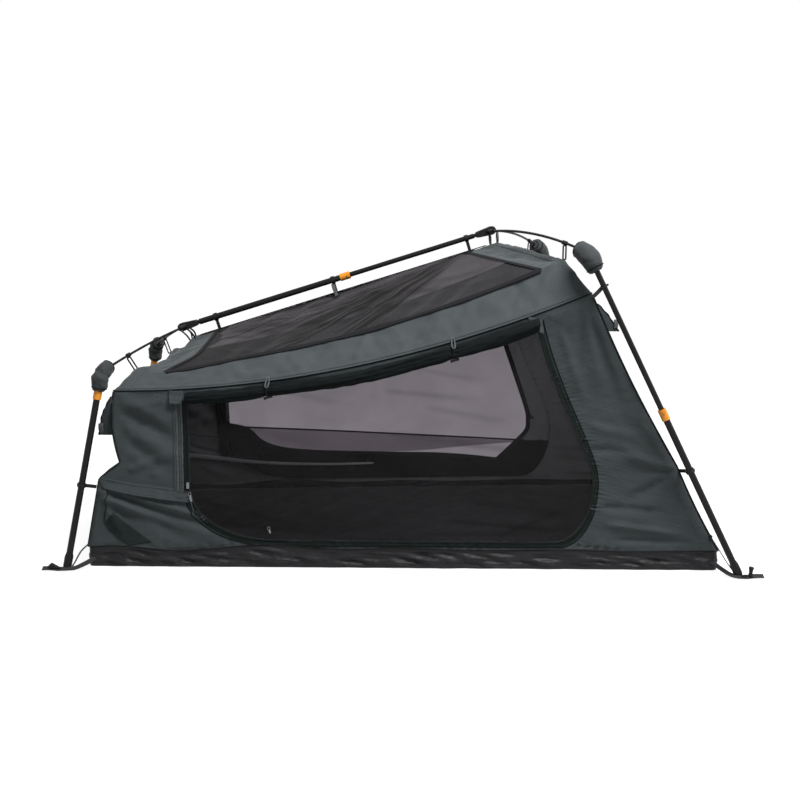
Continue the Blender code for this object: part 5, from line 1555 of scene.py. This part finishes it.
# roof seams: black tape round the mesh window, and raised seams at the eaves and hips
def slopeFacing(a, c):  # points of the roof and the way that it faces there
    step = 0.002
    p = roofPoint(a, c)
    along = roofPoint(np.clip(a + step, 0, 1), c) - roofPoint(np.clip(a - step, 0, 1), c)
    across = roofPoint(a, np.clip(c + step, 0, 1)) - roofPoint(a, np.clip(c - step, 0, 1))
    way = unit(np.cross(along, across))
    return p, np.where(way[..., 2:3] < 0, -way, way)


def roofBinding():
    made = []
    a = np.linspace(0.1, 0.9, 260)
    for hand in (1, -1):
        p, way = slopeFacing(a, np.full_like(a, 1 / 3))
        flip = np.array([1, hand, 1])
        made.append(ribbon("roofTapeSide", (p + way * 0.0016) * flip, 0.020 + 0.004 * waves(a[:, None], 0.3, 151),
                           tape, None, thick=0.0009, facing=way * flip))
    for at, width in ((0.1, 0.018), (0.9, 0.013)):
        c = np.linspace(1 / 3, 1, 60)
        p, way = slopeFacing(np.full_like(c, at), c)
        p = np.vstack([p, p[-2::-1] * [1, -1, 1]])
        way = np.vstack([way, way[-2::-1] * [1, -1, 1]])
        way[55:64] = unit(way[55:64] * [1, 0.3, 1])
        made.append(ribbon("roofTapeEnd", p + way * 0.0016, width, tape, None, thick=0.0009, facing=way))
    a = np.linspace(0.03, 0.965, 200)
    spine = roofPoint(a, np.ones_like(a))
    spine[:, 2] += 0.0016
    made.append(ribbon("roofTapeRidge", spine, 0.026, tape, None, thick=0.0010, facing=(-0.29, 0, 0.957),
                       crown=-0.0022))
    return made


for index, piece in enumerate(roofBinding()):
    piece.name = "roofTape%d" % index
    tentPiece(piece)

eaveX = np.linspace(tent["eaveFootX"] + 0.004, tent["eaveHeadX"] - 0.004, 300)
eaveSeam = eaveLine(eaveX)
seamWay = unit(np.array([0.0, -0.75, 0.66]))
piping = tubeAlong("eaveSeamNear", eaveSeam + seamWay * 0.0005, 0.0022, canvasDark, sides=8)
mirroredPair(piping)
fell = ribbon("eaveFellNear", laidOn(roofTree, eaveSeam + [0, 0.010, 0.012], 0.0, (0, -0.3, 1))[0], 0.011, canvasRoof,
              roofTree, 0.0002, 0.0009, outward=(0, -0.3, 1))
mirroredPair(fell)
line, ways = laidOn(roofTree, eaveSeam + [0, 0.010, 0.012], 0.0, (0, -0.3, 1))
stitched(line, ways, (-0.0040, 0.0040), 0.0012)

for name, points in (("hipHeadNear",
                      [hipPoint(np.array(t), np.array(1 / 3), True) for t in (0.02, 0.25, 0.5, 0.75, 0.99)]),
                     ("hipRidgeHeadNear", [roofPoint(0.985, c) for c in (0.34, 0.5, 0.7, 0.85, 0.99)]),
                     ("hipFootNear", [roofPoint(0.02, c) for c in (0.02, 0.15, 0.34, 0.6, 0.98)])):
    path = curveThrough(points, 90)
    line, ways = laidOn(roofTree, path, 0.0, (0, -0.2, 1))
    mirroredPair(ribbon(name, line, 0.010, canvasRoof, roofTree, 0.0002, 0.0010, outward=(0, -0.2, 1)))
    stitched(line, ways, (-0.0036, 0.0036), 0.0013)
for end, x in (("Foot", tent["eaveFootX"]), ("Head", tent["eaveHeadX"])):
    corner = eaveLine(np.array(x))
    line = np.stack([np.full(90, x), np.linspace(-corner[1], corner[1], 90), np.full(90, corner[2])], 1)
    line = line + [0.0005 if x > 0 else -0.0005, 0, 0.0005]
    tentPiece(tubeAlong("endSeam" + end, line, 0.0022, canvasDark, sides=8))

for name, u, side, radius, material in (("cornerPipingFootNear", 0.0, -1, 0.0018, canvasDark),
                                        ("cornerPipingHeadNear", 1.0, 1, 0.0024, tape)):
    line = wallPoint(np.full(200, u), np.linspace(0.005, 0.995, 200)) + [side * 0.0006, -0.0006, 0]
    mirroredPair(tubeAlong(name, line, radius, material, sides=8))

baseX = np.linspace(tent["tubFootX"] + 0.01, tent["tubHeadX"] - 0.01, 420)
base = rimLine(baseX) + [0, -0.0016, 0.0012]
mirroredPair(tubeAlong("baseSeamNear", base, 0.0020, tape, sides=8))
for hand, x in ((-1, tent["tubFootX"]), (1, tent["tubHeadX"])):
    line = np.stack([np.full(80, x + hand * 0.0014), np.linspace(-0.42, 0.42, 80) * (1 if hand < 0 else 1.16),
                     np.full(80, softRun(np.array(x), tent["rimX"], tent["rimZ"]) + 0.001)], 1)
    tentPiece(tubeAlong("baseSeam" + ("Foot" if hand < 0 else "Head"), line, 0.0020, tape, sides=8))
print("seams made")


# end vents under the awnings: mesh patches with tape round them
def vent(name, x0, tree, outward, half, low, high):
    corners = [(-half, low), (half, low), (half * 0.94, high), (-half * 0.94, high)]
    s, t = np.meshgrid(np.linspace(0, 1, 60), np.linspace(0, 1, 20))
    y = mix(mix(-half, half, s), mix(-half * 0.94, half * 0.94, s), t)
    z = mix(low, high, t)
    points, ways = laidOn(tree, np.stack([np.full(y.size, x0), y.ravel(), z.ravel()], 1), 0.0009, (outward, 0, 0))
    patch = makeMesh(name, points, gridFaces(20, 60), tape, np.stack([y.ravel(), z.ravel()], 1))
    faceTo(patch, 0, outward)
    thicken(patch, 0.0006, 1.0)
    ring = evenly(np.array([(x0, a, b) for a, b in corners + corners[:1]]), 240)
    border = ribbon(name + "Tape", laidOn(tree, ring, 0.0, (outward, 0, 0))[0], 0.016, canvasDark, tree, 0.0016,
                    0.0009, outward=(outward, 0, 0))
    for piece in (patch, border):
        tentPiece(piece)


vent("ventFoot", -0.95, footTree, -1, 0.26, 0.500, 0.575)
vent("ventHead", 0.66, headTree, 1, 0.30, 0.835, 0.895)
print("vents made")


# hard pieces keep their CAD shape and get their finish
finishes = (("hub", moulded), ("elbow", moulded), ("clip", moulded), ("rod", rodCoat), ("tube", poleCoat),
            ("collar", orange),
            ("button", orange), ("slider", metal))
for piece in list(bpy.data.objects):
    for word, finish in finishes:
        if piece.type == "MESH" and word in piece.name.split("_") and piece.material_slots:
            for holder in piece.material_slots:
                holder.material = finish
print("hard pieces finished")


# padded sleeves over the elbows, from the rod round to the leg
frameLines = dict(
    foot=dict(elbow=(-1.0230, -0.4000, 0.6480), rodEnd=(-1.0195, -0.396, 0.668), hubEnd=(-0.8107, -0.021, 0.786),
              rise=0.012,
              leg=(-0.1926, -0.1002, -0.976), body="foot_leg_%s", frame="foot_frame"),
    head=dict(elbow=(0.5899, -0.5300, 1.0452), rodEnd=(0.585, -0.522, 1.063), hubEnd=(0.3107, -0.021, 1.1331),
              rise=0.034,
              leg=(0.4453, -0.0347, -0.8945), body="head_leg_%s_upper", frame="head_frame"))
pads = dict(foot=dict(rodReach=0.047, legReach=0.046, radius=0.0292, lobes=2, neck=0.0128, seed=171, soft=0.0022,
                      wrinkle=0.0011),
            head=dict(rodReach=0.062, legReach=0.042, radius=0.0340, lobes=1, neck=0.0150, seed=181, soft=0.0007,
                      wrinkle=0.0))


def rodPoint(end, t):  # a point of the near bowed rod, from the hub to the elbow
    line = frameLines[end]
    a, d = np.array(line["hubEnd"]), np.array(line["rodEnd"])
    rise = np.array([0, 0, line["rise"]])
    b, c = a + (d - a) / 3 + rise, d - (d - a) / 3 + rise
    t = np.asarray(t, float)[..., None]
    return bezier(a, b, c, d, t)


def legPoint(end, z):
    elbow, way = np.array(frameLines[end]["elbow"]), np.array(frameLines[end]["leg"])
    return elbow + way * ((z - elbow[2]) / way[2])


def padSleeve(end):
    look, line = pads[end], frameLines[end]
    elbow, rodEnd, way = np.array(line["elbow"]), np.array(line["rodEnd"]), unit(np.array(line["leg"]))
    back = unit(rodPoint(end, 0.85) - rodPoint(end, 1.0))
    bend = elbow + [0, 0, 0.006] + unit(-back - way) * -0.002
    path = curveThrough([rodEnd + back * look["rodReach"], rodEnd + back * look["rodReach"] * 0.45, bend,
                         elbow + way * look["legReach"] * 0.55, elbow + way * look["legReach"]], 64)
    if look["lobes"] == 1:
        path = mix(path, mix(path[0], path[-1], np.linspace(0, 1, 64)[:, None]), 0.28)
    s = np.linspace(0, 1, 64)
    belly = np.sin(np.pi * s) ** 0.42
    if look["lobes"] == 2:
        belly = belly * (1 - 0.26 * np.exp(-((s - 0.47) / 0.07) ** 2))
    radius = look["neck"] + (look["radius"] - look["neck"]) * belly
    made = tubeAlong("pad%sNear" % end.title(), path, radius, padCloth, sides=60)
    points = vertexData(made)
    ring = points[:64 * 60].reshape(64, 60, 3)
    away = unit(ring - path[:, None])
    angle = np.linspace(0, 2 * np.pi, 60, endpoint=False)[None]
    nearEnd = np.exp(-(np.minimum(s, 1 - s) / 0.10) ** 2)[:, None]
    pleats = 0.0016 * nearEnd * np.cos(13 * angle + 2 * np.sin(3 * angle))
    soft = look["soft"] * waves(ring.reshape(-1, 3)[:, [0, 2]], 0.035, look["seed"]).reshape(64, 60)
    soft = soft * (1 - 0.6 * nearEnd)
    wrinkle = look["wrinkle"] * np.sin(s[:, None] * 40 + 3 * np.sin(angle * 2))
    wrinkle = wrinkle * np.exp(-((s[:, None] - 0.45) / 0.16) ** 2)
    ring += away * (pleats + soft + wrinkle)[..., None]
    points[:64 * 60] = ring.reshape(-1, 3)
    moveVertices(made, points)
    made = remeshed(made, 0.0032)

    def held(p):  # the two ends stay where they are
        toTip = np.minimum(np.linalg.norm(p - path[0], axis=1), np.linalg.norm(p - path[-1], axis=1))
        return smooth(toTip / 0.022)

    clothPuff(made, 14, 0.005, 3.0, pinned=held)
    trims = []
    for k in (7, 56):
        hoop = np.vstack([ring[k], ring[k][:1]])
        piping = evenly(hoop + unit(hoop - path[k]) * 0.0012, 70)
        trims.append(tubeAlong("padPiping", piping, 0.0015, canvasDark, sides=6, caps=False))
    for k in (0, 62):
        cuff = path[max(0, k - 3):k + 4]
        trims.append(tubeAlong("padCuff", cuff if len(cuff) > 3 else path[:5], look["neck"] + 0.0016, tape, sides=28))
    trims = joined("padTrim%sNear" % end.title(), *trims)
    return made, trims


for end in ("foot", "head"):
    near = padSleeve(end)
    line = frameLines[end]
    far = [farCopy(piece) for piece in near]
    for hand, side, pair in ((1, "near", near), (-1, "far", far)):
        for piece in pair:
            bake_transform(piece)
        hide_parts("%s_pad_%s" % (end, side))
print("pads made")


# webbing tethers from the groundsheet past the feet
# way: along x; start, beside the foot cap, tail; at: the ring where the buckle sits
# buckle: reach along the strap, height and radius of each of its rings
tethers = dict(
    width=0.0190, thick=0.0016,
    foot=dict(way=-1, start=(-1.0636, -0.439, 0.033), beside=(-1.148, -0.4828, 0.0033),
              tail=(-1.230, -0.4757, 0.0020),
              at=70, buckle=[(-0.026, 0.0030, 0.0030), (-0.008, 0.0070, 0.0070), (0.006, 0.0105, 0.0100),
                             (0.016, 0.0060, 0.0045)]),
    head=dict(way=1, start=(1.0366, -0.5067, 0.033), beside=(1.103, -0.5878, 0.0033), tail=(1.185, -0.5807, 0.0020),
              at=58, buckle=[(-0.009, 0.0022, 0.0050), (-0.004, 0.0022, 0.0062), (0.004, 0.0022, 0.0062),
                             (0.009, 0.0022, 0.0050)]),
    peg=[(0, 0, 0), (0, 0, 0.006), (0.0005, 0, 0.014), (0.001, 0, 0.024), (0.0015, 0, 0.028), (0.002, 0, 0.033)],
    pegRadius=[0.0080, 0.0072, 0.0060, 0.0068, 0.0086, 0.0080])


def tetherRun(end, hand):
    way = tethers[end]["way"]
    start, beside, tail = (np.array(tethers[end][key]) for key in ("start", "beside", "tail"))
    runs = []
    for a, b, c, d in ((start, start + [way * 0.01, -0.02, -0.012], beside - [way * 0.02, 0, 0], beside),
                       (beside, beside + [way * 0.03, 0, 0], tail - [way * 0.03, 0, 0], tail)):
        runs.append(bezier(a, b, c, d, np.linspace(0, 1, 40)[:, None]))
    line = evenly(np.vstack([runs[0], runs[1][1:]]), 90)
    ripple = 0.0016 * np.abs(np.sin(np.linspace(0, 9, 90))) * smooth(np.linspace(0, 2, 90))
    line[:, 2] = np.maximum(line[:, 2], 0.0068) + ripple
    return line * [1, hand, 1]


strapDark = clothMaterial("strapDark", (0.020, 0.021, 0.022), (0.052, 0.054, 0.056), period=0.0016, weave=0.9,
                          crumple=0.2)
for end in ("foot", "head"):
    look = tethers[end]
    for hand, side in ((1, "Near"), (-1, "Far")):
        line = tetherRun(end, hand)
        facing = mix(np.array([look["way"] * 0.3, -0.8 * hand, 0.5]), np.array([0.0, -0.40 * hand, 0.92]),
                     smooth(np.linspace(0, 2.2, 90))[:, None])
        name = end.title() + side
        strap = ribbon("tether" + name, line, tethers["width"], strapDark, None, thick=tethers["thick"],
                       facing=unit(facing))
        bodyPieces = [strap]
        at, run = line[look["at"]], unit(line[74] - line[66])
        rings = np.array([at + run * reach + [0, 0, high] for reach, high, size in look["buckle"]])
        sizes = [size for reach, high, size in look["buckle"]]
        bodyPieces.append(tubeAlong("tetherToggle" + name, rings, sizes, moulded, sides=8))
        if end == "head":
            rings = line[68] + np.array(tethers["peg"])
            bodyPieces.append(tubeAlong("tetherBuckle" + side, rings, tethers["pegRadius"], moulded, sides=16))
        for piece in bodyPieces:
            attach(piece, "tent")
        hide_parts("%s_tether_%s" % (end, side.lower()))


# thin cords: corner cords to the foot caps, elastic loops on the rods
# extra: the rings of the line where a toggle starts
def smallCord(name, spots, radius, material, flattens=False,
              extra=()):
    for hand, side in ((1, "Near"), (-1, "Far")):
        line = curveThrough(np.array(spots, float) * [1, hand, 1], 90)
        piece = tubeAlong(name + side, line, radius, material, sides=8)
        tentPiece(piece, flattens)
        others = [tubeAlong("%s%sToggle%d" % (name, side, k), line[i:i + 7], 0.0052, moulded, sides=10)
                  for k, i in enumerate(extra)]
        for other in others:
            tentPiece(other, flattens)


def wallEdge(u, z):  # a point on the wall's foot (0) or head (1) edge
    line = wallPoint(np.full(400, u), np.linspace(0, 1, 400))
    return line[np.argmin(np.abs(line[:, 2] - z))]


start, end = wallEdge(0.0, 0.079), np.array([-1.133, -0.474, 0.008])
smallCord("footCornerCord", [start, mix(start, end, 0.34) + [-0.004, -0.003, 0.004],
                             mix(start, end, 0.72) + [-0.003, -0.002, -0.002], end], 0.0029, webbing)
start, end = wallEdge(1.0, 0.128), np.array([1.098, -0.566, 0.006])
smallCord("headCornerCord", [start, mix(start, end, 0.33) + [0, -0.002, -0.002],
                             mix(start, end, 0.66) + [0, -0.002, -0.004], end], 0.0018, webbing, extra=(2,))


def elasticLoops(name, end, along, canopy, wide):  # from the rod down to the canopy, with a bead on the rod
    top, low = rodPoint(end, along) - [0, 0, 0.008], np.array(canopy, float)
    across = unit(np.cross(top - low, [0, -1, 0.2]))
    down = unit(low - top)
    turn = np.linspace(0.05, np.pi / 2, 7)[:, None]
    over, under = top + down * wide, low - down * wide
    spots = np.vstack([over + wide * (np.sin(turn) * across - np.cos(turn) * down),
                       under + wide * (np.cos(turn) * across + np.sin(turn) * down),
                       under + wide * (np.sin(turn) * down - np.cos(turn) * across)[::-1][1:],
                       over + wide * (-np.sin(turn) * across - np.cos(turn) * down)[::-1]])
    smallCord(name, spots, 0.0027, tape, flattens=True)
    for hand, side in ((1, "Near"), (-1, "Far")):
        bead = rodPoint(end, np.linspace(-0.016, 0.016, 8) + along) * [1, hand, 1]
        piece = tubeAlong(name + "Bead" + side, bead, 0.0075, moulded, sides=16)
        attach(piece, frameLines[end]["frame"])


elasticLoops("footElastic", "foot", 0.70, (-0.934, -0.262, 0.652), 0.0058)
elasticLoops("headElastic", "head", 0.78, hipPoint(np.array(1.0), np.array(1 / 3), True) + [0.004, 0, 0.003], 0.0046)


# webbing loops between the frame and the canopy
def webLoop(name, spots, width, facing, material=webbing, mirror=True):
    line = curveThrough(spots, 40)
    piece = ribbon(name + "Near", line, width, material, None, thick=0.0014, facing=facing)
    if mirror:
        return mirroredPair(piece)
    return [tentPiece(piece)]


def ridgeAt(x):  # a point on the ridge pole's axis
    headX, _, headZ = tent["headPivot"]
    return np.array([x, 0.0, headZ + (x - headX) * 0.2957 / 0.9553])


def topAt(x):  # the canopy's ridge below it
    return ridgeLine(np.array(x))


for name, x, drift, width in (("hubLoopA", 0.318, 0.004, 0.006), ("hubLoopB", 0.346, 0.002, 0.006)):
    start, low = ridgeAt(0.290) + [0, -0.014, 0.004], topAt(min(x + drift, 0.335))
    start[0], low[0] = x, x + drift
    webLoop(name, [start, mix(start, low, 0.5) + [0, -0.016, 0], low + [0, -0.012, 0.0015],
                   low + [0.004, -0.030, -0.006]], width, (0.1, -1, 0.2), webbing)
for name, along, low, width, look in (("footHubLoopA", 0.07, (-0.795, -0.022, 0.737), 0.0065, webbing),
                                      ("footHubLoopB", 0.0, (-0.778, -0.012, 0.744), 0.0065, tape)):
    start, low = rodPoint("foot", along) - [0, 0, 0.004], np.array(low)
    webLoop(name, [start, mix(start, low, 0.5) + [0.006, -0.008, 0], low, low + [0.006, -0.006, -0.003]], width,
            (0.1, -1, 0.2), look)
hook = topAt(-0.690) + [0, -0.004, -0.006]
hookLine = [(0, 0, 0), (0.001, 0, -0.014), (0.006, 0, -0.021), (0.012, 0, -0.017), (0.012, 0, -0.011)]
hookLine = curveThrough(hook + np.array(hookLine), 24)
tentPiece(tubeAlong("roofHook", hookLine, 0.0019, moulded, sides=10))


def legRing(name, end, z, body, tip=None):  # a ring round the leg, with a strap to the canvas where a tip is given
    middle, way = legPoint(end, z), unit(np.array(frameLines[end]["leg"]))
    side = unit(np.cross(way, [0.0, 1.0, 0.0]))
    over = np.cross(side, way)
    angle = np.linspace(0, 2 * np.pi, 30)
    loop = middle + 0.0135 * (side * np.cos(angle)[:, None] + over * np.sin(angle)[:, None])
    ring = tubeAlong(name + "Near", loop, 0.0030, moulded, sides=8, caps=False)
    pieces = [ring]
    if tip is not None:
        tip = np.array(tip)
        line = curveThrough([middle + [0, 0.012, 0], mix(middle, tip, 0.5), tip], 24)
        pieces.append(ribbon(name + "StrapNear", line, 0.013, webbing, None, thick=0.0015, facing=(0, -1, 0.1)))
    for hand, word in ((1, "near"), (-1, "far")):
        pair = pieces if hand > 0 else [farCopy(piece) for piece in pieces]
        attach(pair[0], body % word)
        for strap in pair[1:]:
            tentPiece(strap)


legRing("headUpperClip", "head", 0.960, "head_leg_%s_upper", (0.606, -0.493, 0.924))
legRing("footClipRing", "foot", 0.288, "foot_leg_%s")
legRing("headClipRing", "head", 0.360, "head_leg_%s_lower")


# tabs at the awnings' lower corners
for name, tip, wide in (("awningTabFoot", (-1.034, -0.384, 0.474), 0.018),
                        ("awningTabHead", (0.716, -0.352, 0.822), 0.016)):
    tip = np.array(tip)
    webLoop(name, [tip + [0, 0, 0.016], tip + [0, -0.004, 0.004], tip + [0, -0.002, -0.012]], wide,
            (-0.3 if tip[0] < 0 else 0.3, -1, 0))


# foot corner panel: overhanging hem, bare patch and its seam
def hemLip():
    rows, columns = 26, 150
    s, t = np.meshgrid(np.linspace(0, 1, columns), np.linspace(0, 1, rows))
    x = mix(mix(-1.047, -0.728, s), mix(-1.028, -0.733, s), t)
    z = mix(mix(0.312, 0.268, s), mix(0.277, 0.230, s), t) - 0.004 * np.sin(np.pi * s)
    spots = np.stack([x.ravel(), z.ravel()], 1)
    line, ways = wallLine(spots)
    sag = np.sin(np.pi * np.clip(s, 0, 1)) ** 0.6
    rise = 0.0008 + (0.0035 + 0.0085 * sag) * t ** 1.6 + 0.0010 * waves(spots, 0.05, 191).reshape(t.shape) * t
    rise = (rise + 0.0012 * np.exp(-((t - 0.16) / 0.05) ** 2)).ravel()[:, None]
    points = line + np.array([0, -1, 0]) * rise + np.array([0, 0, -0.004]) * (t.ravel() ** 3)[:, None]
    made = makeMesh("footHemNear", points, gridFaces(rows, columns)[:, ::-1], canvas, spots)
    faceTo(made, 1, -1)
    grid = points.reshape(rows, columns, 3)
    stitchRuns.append((grid[5] + [0, -0.0006, 0], (0, -1, 0)))
    stitchRuns.append((grid[21] + [0, -0.0006, 0], (0, -1, 0)))
    return thicken(made, 0.0022, -1.0)


mirroredPair(hemLip())


def wallPatch(name, corners, material, lift, count=26):
    corners = np.array(corners, float)
    s, t = np.meshgrid(np.linspace(0, 1, count), np.linspace(0, 1, count))
    spots = mix(mix(corners[0], corners[1], s[..., None]), mix(corners[3], corners[2], s[..., None]),
                t[..., None]).reshape(-1, 2)
    line, ways = wallLine(spots)
    made = makeMesh(name, line + ways * lift, gridFaces(count, count)[:, ::-1], material, spots)
    faceTo(made, 1, -1)
    edge = evenly(np.vstack([corners, corners[:1]]), 160)
    inner = mix(edge, corners.mean(0), 0.06)
    path, facing = wallLine(inner)
    stitched(path, facing, (0.0,), lift + 0.0014)
    return thicken(made, 0.0012, 1.0)


mirroredPair(wallPatch("cornerPatchNear", [(-1.026, 0.150), (-0.996, 0.188), (-0.866, 0.088), (-0.940, 0.076)],
                       patchCloth, 0.0004))
seam = [(-1.013, 0.262), (-1.017, 0.205), (-1.024, 0.153), (-0.985, 0.108), (-0.945, 0.078)]
line, ways = wallLine(curveThrough(seam, 120))
mirroredPair(ribbon("cornerSeamNear", line, 0.0042, patchCloth, thinWall, 0.0002, 0.0010, crown=0.0008,
                    outward=(0, -1, 0)))
stitched(line, ways, (-0.005,), 0.0010)


# head side of the wall: seam beside the door, stitched hem along the edge
headSeam = curveThrough([(0.640, 0.93), (0.80, 0.62), (0.94, 0.34), (1.035, 0.10)], 200)
headEdge = laidOn(thinWall, wallPoint(np.full(220, 0.982), np.linspace(0.02, 0.985, 220)), 0.0, (0, -1, 0))
lowerEdge = laidOn(thinWall, wallPoint(np.linspace(0.01, 0.99, 500), np.full(500, 0.022)), 0.0, (0, -1, 0))
for line, ways in (wallLine(headSeam), headEdge, lowerEdge):
    stitched(line, ways, (0.0,), 0.0008)
print("corner panel made")


# zip pulls, bare
def onSlider(piece):
    return softPiece(piece, "zip_slider")


slider = frame["nodes"]["door_zip_slider"]
sliderBody = merged(linked("zipSliderBody", slider.data.copy()), 0.00002)
onSlider(sliderBody)
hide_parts("door_zip_slider")


def pullTab(name, top, long, wide, slides):  # the near one goes with the slider where slides is true
    top = np.array(top, float)
    hoop = np.array([[0.0045 * math.sin(a), -0.0040, -0.0055 + 0.0055 * math.cos(a)]
                     for a in np.linspace(0, 2 * np.pi, 22)])
    ring = tubeAlong(name + "RingNear", top + hoop, 0.0009, metal, sides=8, caps=False)
    rows = np.linspace(0, 1, 12)
    line = top + np.array([0.0015, -0.0050, -0.010]) + np.outer(rows, [0.004, -0.001, -long])
    tab = ribbon(name + "TabNear", line, wide * (0.72 + 0.28 * np.sin(np.pi * rows)), metal, None, thick=0.0016,
                 facing=(0, -1, 0))
    for hand in (1, -1):
        pair = (ring, tab) if hand > 0 else [farCopy(piece) for piece in (ring, tab)]
        for piece in pair:
            if hand > 0 and slides:
                onSlider(piece)
            else:
                tentPiece(piece)


pullTab("zipPull", (-0.730, -0.4375, 0.262), 0.022, 0.0085, True)
pullTab("meshPull", (-0.463, -0.4555, 0.146), 0.012, 0.0065, False)
cordLine = [(-0.727, -0.4440, 0.231), (-0.722, -0.4470, 0.214), (-0.718, -0.4455, 0.196)]
pullCord = tubeAlong("zipPullCord", curveThrough(cordLine, 20), 0.0011, webbing, sides=8)
onSlider(pullCord)
print("pulls made")


# roof extras: the clips' patches and the middle strap
def clipPatch(x, size, material):
    top = topAt(x)
    corners = np.array([top + [-size, 0, -size * 0.31], top + [size, 0, size * 0.31],
                        top + [0.35 * size, -size * 1.15, -size * 0.62 + 0.1 * size]])
    steps = np.linspace(0, 1, 16)
    grid = np.array([mix(mix(corners[0], corners[1], s), corners[2], t) for t in steps for s in steps])
    grid[:, 2] += 0.012
    points, ways = laidOn(roofSkin, grid, 0.0016, (0, -0.4, 1))
    made = makeMesh("clipPatchNear%d" % round(100 * (x + 1)), points, gridFaces(16, 16), material, grid[:, :2])
    made = merged(made, 0.00005)
    faceTo(made, 2, 1)
    return thicken(made, 0.0010, 1.0)


roofSkin = surfaceOf(roofNet, canopy)
for x, size in ((-0.262, 0.040), (-0.685, 0.036), (0.232, 0.034)):
    mirroredPair(clipPatch(x, size, tape))
strapLine = [topAt(x) + [0, y, z] for x, y, z in (
    (-0.262, -0.004, 0.034), (-0.258, -0.016, 0.020), (-0.252, -0.020, 0.004), (-0.247, -0.024, -0.012))]
webLoop("middleStrap", strapLine, 0.013, (0.2, -1, 0.2), mirror=False)
print("roof straps made")


# all stitches of the canvas, both sides
runs = []
for line, facing in stitchRuns:
    line = np.asarray(line, float)
    facing = np.broadcast_to(np.asarray(facing, float), line.shape)
    runs += [(line, facing), (line * [1, -1, 1], facing * [1, -1, 1])]
stitches = rowOf("stitches", runs, (0.0036, 0.0010, 0.0008), 0.0056, thread)
tentPiece(stitches)
print("stitches made", len(stitches.data.polygons))


print("finished")
